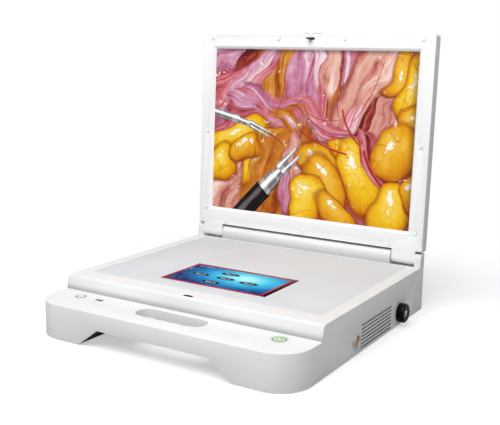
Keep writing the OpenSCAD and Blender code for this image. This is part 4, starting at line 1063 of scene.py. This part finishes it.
@dataclass
class DisplayPicture(Maker):
    """The picture on the lid's display: folds of tissue, rounded fat and two instruments."""

    width: float = 308.0
    height: float = 231.0
    low: float = 35.5
    face: float = -5.04
    step: float = 0.01
    seed: int = 11
    columns: int = 8
    rows: int = 6
    zones: tuple[Zone, ...] = tuple(Zone(*row) for row in (
        (Tissue.MAUVE, 14, 212, 150, 96, 34), (Tissue.CAVE, 62, 218, 112, 50, 50),
        (Tissue.ROSE, 18, 172, 138, 52, 34), (Tissue.AMBER, 96, 206, 172, 70, 72),
        (Tissue.MAUVE, 58, 182, 200, 44, 49), (Tissue.PALE, 50, 172, 170, 9, 47),
        (Tissue.ROSE, 44, 156, 190, 22, 44), (Tissue.AMBER, 122, 192, 160, 40, 84),
        (Tissue.ROSE, 92, 138, 172, 72, -8), (Tissue.MAUVE, 78, 148, 130, 26, -16),
        (Tissue.ROSE, 188, 176, 200, 82, 84), (Tissue.MAUVE, 152, 190, 200, 66, 74),
        (Tissue.PALE, 168, 206, 90, 10, 98), (Tissue.ROSE, 176, 160, 110, 20, 76),
        (Tissue.CAVE, 190, 168, 120, 12, 82), (Tissue.FLESH, 184, 206, 120, 22, 98),
        (Tissue.MAUVE, 210, 184, 130, 26, 96), (Tissue.PALE, 207, 200, 70, 9, 92),
        (Tissue.AMBER, 200, 146, 104, 38, 80), (Tissue.FLESH, 252, 168, 240, 116, 62),
        (Tissue.ROSE, 222, 146, 160, 20, 68), (Tissue.PALE, 232, 152, 120, 8, 66),
        (Tissue.FLESH, 276, 214, 170, 40, 48), (Tissue.GOLDEN, 280, 202, 74, 30, 58),
        (Tissue.YELLOW, 306, 180, 96, 50, 78), (Tissue.GOLDEN, 308, 138, 66, 50, 64),
        (Tissue.ROSE, 152, 126, 190, 66, -18), (Tissue.MAUVE, 122, 144, 180, 24, -28),
        (Tissue.CAVE, 170, 118, 120, 16, -24), (Tissue.CAVE, 236, 128, 100, 14, 60),
        (Tissue.AMBER, 140, 126, 120, 38, -30), (Tissue.ROSE, 168, 112, 130, 22, -36),
        (Tissue.PALE, 140, 118, 96, 10, -34), (Tissue.MAUVE, 206, 108, 180, 30, -18),
        (Tissue.ROSE, 214, 100, 130, 18, -30), (Tissue.FLESH, 26, 34, 210, 90, 50),
        (Tissue.YELLOW, 42, 108, 120, 48, 10), (Tissue.GOLDEN, 104, 102, 52, 40, 24),
        (Tissue.YELLOW, 12, 66, 66, 56, 84), (Tissue.YELLOW, 78, 66, 96, 44, 58),
        (Tissue.GOLDEN, 58, 88, 60, 34, 20), (Tissue.AMBER, 112, 40, 220, 112, 66),
        (Tissue.MAUVE, 128, 62, 130, 24, 84), (Tissue.FLESH, 140, 70, 120, 26, 106),
        (Tissue.GOLDEN, 176, 78, 88, 48, -30), (Tissue.YELLOW, 214, 96, 62, 32, -16),
        (Tissue.GOLDEN, 186, 44, 110, 50, -62), (Tissue.YELLOW, 234, 60, 118, 54, -64),
        (Tissue.YELLOW, 156, 18, 76, 48, 80), (Tissue.GOLDEN, 204, 6, 90, 40, -30),
        (Tissue.ROSE, 270, 60, 170, 36, -60), (Tissue.CAVE, 262, 76, 110, 8, -62),
        (Tissue.GOLDEN, 282, 100, 84, 60, 80), (Tissue.YELLOW, 278, 24, 84, 52, 72),
        (Tissue.GOLDEN, 310, 44, 60, 40, 80)))
    vessels: tuple[Vessel, ...] = tuple(Vessel(*row) for row in (
        (112, 168, 74, 1.2, 78, 30), (138, 160, 46, 1.0, 40, -60), (152, 196, 60, 0.8, 66, 30),
        (196, 176, 70, 1.2, 86, -40), (172, 138, 60, 1.0, -12, 60), (214, 128, 54, 2.6, -60, 40),
        (176, 104, 80, 2.6, -22, 26), (250, 76, 54, 4.4, -58, 36), (30, 196, 70, 0.9, 30, 40),
        (86, 118, 70, 2.0, -24, -30), (246, 176, 90, 0.9, 64, 26)))
    bars: tuple[Bar, ...] = (
        Bar(Tissue.CHROME, (-8, 142), (44, 131), 12),
        Bar(Tissue.CHROME, (42, 131), (64, 125), 9),
        Bar(Tissue.CHROME, (61, 128), (98, 114), 5, 0.25),
        Bar(Tissue.CHROME, (61, 123), (94, 109), 4, 0.3),
        Bar(Tissue.BLACK, (30, -26), (88, 36), 28),
        Bar(Tissue.CHROME, (86, 34), (106, 55), 23, 0.9),
        Bar(Tissue.CHROME, (104, 53), (117, 67), 15, 0.7),
        Bar(Tissue.CHROME, (110, 66), (139, 98), 8, 0.2),
        Bar(Tissue.CHROME, (117, 60), (145, 88), 7, 0.25),
    )

    def cut(self, bench: Bench, x: float, y: float, normal: Triple, clear: bool = False) -> None:
        """Cuts a flat piece through a point, and clears what is beyond it."""
        with bench.opened():
            bpy.ops.mesh.bisect(plane_co=(x * MM, y * MM, 0), plane_no=normal, clear_outer=clear)

    def ground(self) -> Bench:
        """Returns the sheet that shows the tissues, with its own material on each tile."""
        bench = Bench.sheet("screen_picture", self.width, self.height)
        bench.move(self.width / 2, self.height / 2)
        wide, high = self.width / self.columns, self.height / self.rows
        for i in range(1, self.columns):
            self.cut(bench, i * wide, 0, (1, 0, 0))
        for j in range(1, self.rows):
            self.cut(bench, 0, j * high, (0, 1, 0))
        tissues = Tissues(self.zones, self.width, self.height)
        for j in range(self.rows):
            for i in range(self.columns):
                corner = Vector((i * wide, j * high))
                finish = tissues.tile(f"PictureTile{j}{i}", corner, corner + Vector((wide, high)))
                bench.obj.data.materials.append(finish)
        for face in bench.obj.data.polygons:
            column, row = int(face.center.x / MM / wide), int(face.center.y / MM / high)
            face.material_index = row * self.columns + column
        return bench

    def strip(self, name: str, length: float, width: float) -> Bench:
        """Returns a flat strip that is fine enough to bend or taper."""
        return Bench.sheet(name, length, width).modify("SUBSURF", levels=3, render_levels=3,
                                                       subdivision_type="SIMPLE")

    def painted(self, bench: Bench, tissue: Tissue) -> Bench:
        """Paints a vessel or bar."""
        return bench.paint(self.paints.get(Shown(tissue.title, tissue)))

    def vessel(self, index: int, spec: Vessel) -> Bench:
        """Returns one thin vessel, bent from a strip with an uneven edge."""
        bench = self.strip(f"vessel_{index}", spec.length, spec.width)
        with bench.opened():
            bpy.ops.transform.vertex_random(offset=spec.width * 0.15 * MM, seed=self.seed + index)
            bpy.ops.transform.resize(value=(1, 1, 0), center_override=(0, 0, 0))
        bench.modify("SIMPLE_DEFORM", deform_method="BEND", deform_axis="Z",
                     angle=math.radians(spec.bend))
        bench.modify("SUBSURF", levels=1, render_levels=1).turn(spec.turn)
        bench.move(spec.x, spec.y, self.step * (index + 1))
        return self.painted(bench, Tissue.BLOOD)

    def bar(self, index: int, spec: Bar) -> Bench:
        """Returns one stretch of an instrument, tapered towards its end."""
        along = Vector(spec.end) - Vector(spec.start)
        bench = self.strip(f"bar_{index}", along.length, spec.width)
        if spec.end_share != 1:
            share = 2 * (spec.end_share - 1) / (spec.end_share + 1)
            bench.modify("SIMPLE_DEFORM", deform_method="TAPER", deform_axis="X", factor=share)
        bench.turn(math.degrees(math.atan2(along.y, along.x)))
        middle = (Vector(spec.start) + Vector(spec.end)) / 2
        bench.move(middle.x, middle.y, self.step * (len(self.vessels) + index + 1))
        return self.painted(bench, spec.tissue)

    def build(self) -> None:
        """Makes the picture, trims its four edges and lays it on the display's glass."""
        layers = [self.vessel(i, v) for i, v in enumerate(self.vessels)]
        layers += [self.bar(i, b) for i, b in enumerate(self.bars)]
        bench = self.ground().join(layers)
        for x, y, normal in ((0, 0, (-1, 0, 0)), (self.width, 0, (1, 0, 0)),
                             (0, 0, (0, -1, 0)), (0, self.height, (0, 1, 0))):
            self.cut(bench, x, y, normal, clear=True)
        bench.move(-self.width / 2).turn(90, "X").move(0, self.face, self.low).put(LAYOUT.lid())
        self.tie(bench, "lid", "glass_dark")


@dataclass
class TouchMenu(Maker):
    """What the touch display shows: a red frame, a blue ground and five oval keys."""

    left: float = -73.8
    right: float = 68.2
    front: float = 116.2
    rear: float = 195.4
    lift: float = 0.03
    thick: float = 0.6
    line: float = 2.3
    inset: float = 0.4
    glow: Pair = (16.0, 168.0)
    reach: float = 58.0
    oval: Pair = (25.0, 9.6)
    ovals: tuple[Pair, ...] = ((-42, 156), (-10, 175), (-5, 155), (-12, 133), (30, 152))
    strokes: tuple[Box, ...] = (
        (-4.5, 1.3, 7.0, 1.5), (4.0, 1.3, 5.0, 1.5), (-1.5, -1.5, 10.0, 1.5),
        (6.5, -1.5, 1.6, 1.5))
    captions: tuple[Box, ...] = ((36.0, 126.5, 13.0, 2.0), (51.0, 126.5, 9.0, 2.0))
    titles: tuple[Box, ...] = ((-62.0, 189.0, 8.0, 1.4), (-50.0, 189.0, 10.0, 1.4))

    def ground(self) -> None:
        """Makes the blue ground and the red frame on it."""
        width, depth = self.right - self.left, self.rear - self.front
        middle = LAYOUT.top((self.left + self.right) / 2, (self.front + self.rear) / 2,
                            LAYOUT.deck_top + self.lift)
        glow = LAYOUT.top(*self.glow, 0).translation
        ground = Bench.sheet("menu_ground", width, depth).thicken(self.lift).put(middle)
        self.show("menu_ground", [ground], "base", "glass_dark",
                  MenuGround("MenuBlue", glow.x, glow.y, self.reach * MM))
        rim = Bench.sheet("menu_frame", width - self.inset, depth - self.inset)
        rim.hollow(self.line).thicken(self.lift).move(z=self.lift).put(middle)
        self.show("menu_frame", [rim], "base", "glass_dark", LitInk("MenuRed", srgb(232, 16, 48)))

    def key(self, share: float) -> Bench:
        """Returns one flat oval key, as a share of its full size."""
        bench = Bench.disc("key", 0.5, 32).size(self.oval[0] * share, self.oval[1] * share)
        return bench.thicken(self.lift * self.thick)

    def lines(self, boxes: tuple[Box, ...], level: float, x: float = 0.0,
              y: float = 0.0) -> list[Bench]:
        """Returns short lines like those of a text, by their places and sizes."""
        return [Bench.sheet("line", width, depth).thicken(self.lift * self.thick)
                .put(LAYOUT.top(x + dx, y + dy, level)) for dx, dy, width, depth in boxes]

    def build(self) -> None:
        """Makes the menu's pieces and lays them on the touch glass."""
        self.ground()
        level = LAYOUT.deck_top + 2 * self.lift
        rims, keys, marks = [], [], []
        for x, y in self.ovals:
            rims.append(self.key(1.1).put(LAYOUT.top(x, y, level)))
            keys.append(self.key(1.0).put(LAYOUT.top(x, y, level + 0.7 * self.lift)))
            marks += self.lines(self.strokes, level + 1.4 * self.lift, x, y)
        for name, pieces, colour in (
                ("menu_captions", self.lines(self.captions, level), srgb(8, 30, 60)),
                ("menu_titles", self.lines(self.titles, level), srgb(150, 206, 232)),
                ("menu_key_rims", rims, srgb(60, 130, 170)),
                ("menu_keys", keys, srgb(5, 9, 20)),
                ("menu_key_marks", marks, srgb(196, 212, 222))):
            ink = LitInk(name.title().replace("_", ""), colour)
            self.show(name, pieces, "base", "glass_dark", ink)


@dataclass
class Controls(Maker):
    """The mark on the power button and the halo round it."""

    power_x: float = 134.0
    button_y: float = 43.0
    cap_top: float = 41.8
    mark_r: float = 4.1
    mark_w: float = 1.1
    mark_h: float = 0.08
    gap: float = 1.4
    bar_length: float = 0.95
    bar_middle: float = 0.85
    halo_r: float = 10.4
    halo_w: float = 0.7

    def build(self) -> None:
        """Makes the power symbol and the halo."""
        gap = self.mark_w * self.gap * MM
        ring = Bench.disc("power_mark", self.mark_r).hollow(self.mark_w)
        with ring.opened(lambda centre, _: centre.y > 0 and abs(centre.x) < gap):
            bpy.ops.mesh.delete(type="FACE")
        ring.thicken(self.mark_h)
        bar = Bench.slab("power_bar", self.mark_w, self.mark_r * self.bar_length, self.mark_h)
        bar.move(0, self.mark_r * self.bar_middle, self.mark_h / 2)
        ring.join([bar]).put(LAYOUT.top(self.power_x, self.button_y, self.cap_top))
        self.show("power_mark", [ring], "power_key", "ring_green",
                  Glowing("GreenMark", srgb(96, 156, 74), 0.08))
        halo = Bench.disc("power_halo", self.halo_r, 64).hollow(self.halo_w)
        halo.thicken(self.mark_h).put(LAYOUT.top(self.power_x, self.button_y, LAYOUT.shelf_top))
        self.show("power_halo", [halo], "base", "ring_green",
                  Glowing("PaleHalo", srgb(206, 226, 200), 0.1))


@dataclass
class Liners(Maker):
    """Pieces in the openings: leg pockets, latch slot, the vent's foam, and dark strips under the
    lid that stand for shade.
    """

    pocket_in: float = 132.5
    pocket_out: float = 166.3
    pocket_front: float = 342.5
    pocket_floor: float = 55.5
    pocket_gap: float = 0.1
    wall: float = 0.5
    front_h: float = 2.6
    lip: float = 5.4
    slot_y: float = 70.0
    slot_wall: float = 0.4
    slot: Triple = (12.0, 5.4, 2.85)
    # Dark strips under the lid's lower edge, over the barrel and the ears: painted shade, for the
    # dark line between the lid and the case.
    seal: Pair = (12.6, 1.0)
    seal_place: Pair = (-1.3, 10.5)
    seal_spans: tuple[Pair, ...] = ((-174.2, -166.6), (-132.6, 132.6), (166.6, 174.2))
    foam: Triple = (29.0, 89.0, 0.5)
    foam_place: Triple = (173.6, 203.0, 18.4)

    def pocket(self, side: int) -> Bench:
        """Returns the tray under one of the lid's legs: a floor, a low front and a back lip."""
        width = self.pocket_out - self.pocket_in
        depth = LAYOUT.case_d - self.pocket_front - self.pocket_gap
        tray = Bench.slab("tray", width, depth, self.wall)
        front = Bench.slab("tray_front", width, self.wall, self.front_h)
        front.move(0, (self.wall - depth) / 2, (self.front_h - self.wall) / 2)
        back = Bench.slab("tray_back", width, self.wall, self.lip)
        back.move(0, (depth - self.wall) / 2, (self.lip - self.wall) / 2)
        for piece in (tray, front, back):
            piece.bevel(0.12, 2)
        middle = (self.pocket_in + self.pocket_out) / 2
        return tray.join([front, back]).put(
            LAYOUT.top(side * middle, self.pocket_front + depth / 2,
                       self.pocket_floor + self.wall / 2))

    def build(self) -> None:
        """Makes every liner."""
        self.show("pocket_liners", [self.pocket(-1), self.pocket(1)], "base", "shell_white",
                  Moulded("PocketGrey", srgb(236, 237, 238), 0.6, gloss=0.3))
        width, depth, height = self.slot
        slot = Bench.sheet("slot_liner", width, depth).hollow(self.slot_wall).thicken(height)
        slot.put(LAYOUT.top(0, self.slot_y, self.pocket_floor))
        self.show("slot_liner", [slot], "base", "black_plastic",
                  Moulded("SlotBlack", srgb(14, 14, 15), 0.6, gloss=0.2))
        # Painted shade: dark rubber-like strips along the lid's lower edge.
        strips = []
        for low, high in self.seal_spans:
            strip = Bench.slab("seal", high - low, *self.seal).bevel(0.2, 2)
            strips.append(strip.move((low + high) / 2, *self.seal_place).put(LAYOUT.lid()))
        self.show("lid_seal", strips, "lid", "rubber",
                  Soft("SealRubber", srgb(50, 50, 52), 0.8, 2400.0, 0.02))
        x, y, z = self.foam_place
        foam = Bench.slab("vent_foam", *self.foam).bevel(0.15, 2)
        foam.put(LAYOUT.side(y, z)).move(x - LAYOUT.side_x)
        self.show("vent_foam", [foam], "base", "black_plastic",
                  Soft("VentFoam", srgb(13, 13, 14), 0.9, 700.0, 0.4))


@dataclass
class LatchSpring(Maker):
    """The latch's coil spring: it shortens towards its stop as the slider is pushed."""

    node: str = "latch_spring"
    joint: str = "latch_slide"
    start: Triple = (13.2, 361.75, 350.115)
    length: float = 12.0
    radius: float = 1.3
    wire: float = 0.25
    turns: int = 9
    travel: float = 3.0

    def build(self) -> None:
        """Winds the coil and ties it to the lid in place of the CAD spring."""
        bench = Bench.disc("latch_coil", self.wire, 8)
        with bench.opened():
            bpy.ops.mesh.delete(type="ONLY_FACE")
        bench.turn(90, "X").move(self.radius, 0, self.wire)
        pitch = (self.length - 2 * self.wire) / self.turns
        bench.modify("SCREW", axis="Z", screw_offset=pitch * MM, iterations=self.turns, steps=16,
                     render_steps=16, use_merge_vertices=False)
        with bench.opened():
            bpy.ops.mesh.fill_holes(sides=0)
        bench.outward().smooth(60).turn(90, "Y").put(LAYOUT.top(*self.start))
        self.show("latch_coil", [bench], "lid", "spring", replaced=(self.node,))
        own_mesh(bench.obj)


@dataclass
class RearDetails(Maker):
    """The rear panel's screws, the sockets' lugs, the rocker's marks and the lid's plugs."""

    panel_y: float = 357.5
    mid_z: float = 40.25
    screws: tuple[Pair, ...] = ((-103.6, 32), (-103.6, 48.5), (83, 32), (83, 48.5))
    screw_r: float = 2.4
    sockets: Pair = (22.0, 54.0)
    lug: Triple = (1.9, 2.0, 2.2)
    lug_place: Pair = (5.25, 8.2)
    rocker: Triple = (-50.0, 355.5, 40.25)
    tilt: float = 16.0
    plugs: tuple[Pair, ...] = ((-150, 24), (150, 24), (-150, 262), (150, 262))
    lid_back: float = 8.0

    def screw(self) -> Bench:
        """Returns a pan head screw with a cross recess, standing on the XY plane."""
        head = Bench.disc("screw", self.screw_r, 32)
        with head.opened():
            for height, share in ((0.5, 0.94), (0.25, 0.62)):
                head.raised(height)
                bpy.ops.transform.resize(value=(share, share, 1))
        head.outward()
        long, short = self.screw_r, self.screw_r * 0.22
        for width, depth in ((long, short), (short, long)):
            cut = Bench.slab("cut", width, depth, 0.6).move(z=0.75)
            head.modify("BOOLEAN", operation="DIFFERENCE", object=cut.obj, solver="EXACT")
            bpy.data.objects.remove(cut.obj)
        return head.smooth(40)

    def marks(self) -> list[Bench]:
        """Returns the rocker's two marks: a bar on its upper half and a ring on its lower."""
        x, y, z = self.rocker
        bar = Bench.slab("mark", 0.5, 2.4, 0.12)
        bar.put(LAYOUT.back(x, y + 4.205, z + 1.73) @ spin(-self.tilt, "X"))
        ring = Bench.disc("mark", 1.3, 32).hollow(0.42).thicken(0.06)
        return [bar, ring.put(LAYOUT.back(x, y + 3.565, z - 2.8))]

    def lugs(self) -> list[Bench]:
        """Returns the two bayonet lugs of each video socket."""
        aside, out = self.lug_place
        return [Bench.slab("lug", *self.lug).bevel(0.3, 2).move(side * aside, 0, out)
                .put(LAYOUT.back(x, self.panel_y, self.mid_z))
                for x in self.sockets for side in (-1, 1)]

    def build(self) -> None:
        """Makes the pieces of the back."""
        screws = [self.screw().put(LAYOUT.back(x, self.panel_y, z)) for x, z in self.screws]
        self.show("rear_screws", screws, "base", "steel")
        self.show("socket_lugs", self.lugs(), "base", "chrome")
        self.show("rocker_marks", self.marks(), "rocker_key", "cap_white")
        plugs = [Bench.disc("plug", 4.0, 40).thicken(0.35).bevel(0.15, 2).smooth()
                 .put(LAYOUT.lid() @ shift(x, self.lid_back, z) @ spin(-90, "X"))
                 for x, z in self.plugs]
        self.show("lid_plugs", plugs, "lid", "bumper")


@dataclass
class Studio:
    """Camera, lamps, floor and backdrop, in metres in the row frame."""

    lens: float = 60.24368
    sensor: float = 36.0
    place: Triple = (0.5257446, -0.8591196, 0.330829)
    yaw: float = 31.1914
    pitch: float = -10.8785
    roll: float = 0.964
    clip: Pair = (0.05, 60)
    lamps: tuple[tuple[str, Triple, float, float], ...] = (
        ("KeyLamp", (0.04, -0.6, 1.0), 11.0, 0.9), ("RightFill", (1.6, 0.1, 0.7), 0.85, 1.2))
    aim: Triple = (0, 0, 0.08)
    sky: float = 0.36
    floor_size: float = 12.0
    shadow: Pair = (0.27, 0.56)
    floor_tint: float = 0.66
    bounce: float = 0.5
    floor_glow: float = 0.5

    def hang(self, name: str, data: bpy.types.ID, place: Triple, turn: Matrix) -> bpy.types.Object:
        """Adds a camera or lamp at a place, turned by a matrix."""
        item = bpy.data.objects.new(name, data)
        bpy.context.scene.collection.objects.link(item)
        item.matrix_world = Matrix.Translation(place) @ turn.to_4x4()
        return item

    def camera(self) -> None:
        """Places the camera at the photograph's viewing angle."""
        yaw, pitch, roll = (math.radians(a) for a in (self.yaw, self.pitch, self.roll))
        ahead = Vector((-math.sin(yaw) * math.cos(pitch), math.cos(yaw) * math.cos(pitch),
                        math.sin(pitch)))
        right = Vector((math.cos(yaw), math.sin(yaw), 0))
        up = right.cross(ahead)
        across = math.cos(roll) * right + math.sin(roll) * up
        upward = -math.sin(roll) * right + math.cos(roll) * up
        data = bpy.data.cameras.new("StudioCamera")
        data.lens, data.sensor_width, data.sensor_fit = self.lens, self.sensor, "HORIZONTAL"
        data.clip_start, data.clip_end = self.clip
        turn = Matrix((across, upward, -ahead)).transposed()
        bpy.context.scene.camera = self.hang("StudioCamera", data, self.place, turn)

    def lights(self) -> None:
        """Adds the square soft lamps, which point at the unit."""
        for name, place, power, size in self.lamps:
            data = bpy.data.lights.new(name, "AREA")
            data.shape, data.size, data.energy = "SQUARE", size, power
            ray = Vector(self.aim) - Vector(place)
            self.hang(name, data, place, ray.to_track_quat("-Z", "Y").to_matrix())

    def world(self) -> None:
        """Lights the room softly and shows it white to the camera and in reflections."""
        world = bpy.data.worlds.new("Studio")
        world.use_nodes = True
        bpy.context.scene.world = world
        g = Graph(world.node_tree)
        rays = g.add("LightPath").outputs
        seen = g.math("MAXIMUM", rays["Is Camera Ray"], rays["Is Glossy Ray"])
        seen = g.math("MAXIMUM", seen, rays["Is Transmission Ray"])
        soft = g.add("Background", {"Color": WHITE, "Strength": self.sky}).outputs[0]
        white = g.add("Background", {"Color": WHITE}).outputs[0]
        mixed = g.add("MixShader", {"Fac": seen, 1: soft, 2: white}).outputs[0]
        g.add("OutputWorld", {"Surface": mixed})

    def floor(self) -> None:
        """Adds the floor: white far off, with the unit's shadow near it."""
        bpy.ops.object.select_all(action="DESELECT")
        bpy.ops.mesh.primitive_plane_add(size=self.floor_size)
        floor = bpy.context.view_layer.objects.active
        floor.name = "studio_floor"
        g = Graph.of_material("StudioFloor")
        near = g.span(g.vector("LENGTH", g.place()), *self.shadow, 1.0, 0.0)
        seen = g.add("LightPath").outputs["Is Camera Ray"]
        tint = g.mix(seen, toned(WHITE, self.bounce), toned(WHITE, self.floor_tint))
        g.set(Base_Color=tint, Roughness=0.9, Specular_IOR_Level=0.0)
        glow = g.add("Emission", {"Strength": g.math("MULTIPLY", seen, self.floor_glow)})
        both = g.add("AddShader", {0: g.shader.outputs["BSDF"], 1: glow.outputs[0]})
        far = g.math("MULTIPLY", seen, g.math("SUBTRACT", 1.0, near))
        blend = g.add("MixShader", {"Fac": far, 1: both.outputs[0],
                                    2: g.add("Emission").outputs[0]})
        g.feed(g.output.inputs["Surface"], blend.outputs[0])
        floor.data.materials.append(g.material)

    def build(self) -> None:
        """Makes the whole studio."""
        self.camera()
        self.lights()
        self.world()
        self.floor()
        bpy.context.scene.view_settings.view_transform = "Standard"


def main() -> None:
    """Builds the studio and every piece."""
    logging.basicConfig(level=logging.INFO, format="%(name)s: %(message)s")
    Studio().build()
    paints = Paints()
    for maker in (RoundedParts, DisplayPicture, TouchMenu, Controls, Liners, LatchSpring,
                  RearDetails):
        maker(paints).build()
    only(*[o for o in bpy.context.scene.objects if o.type == "CAMERA"])


if __name__ == "__main__":
    main()
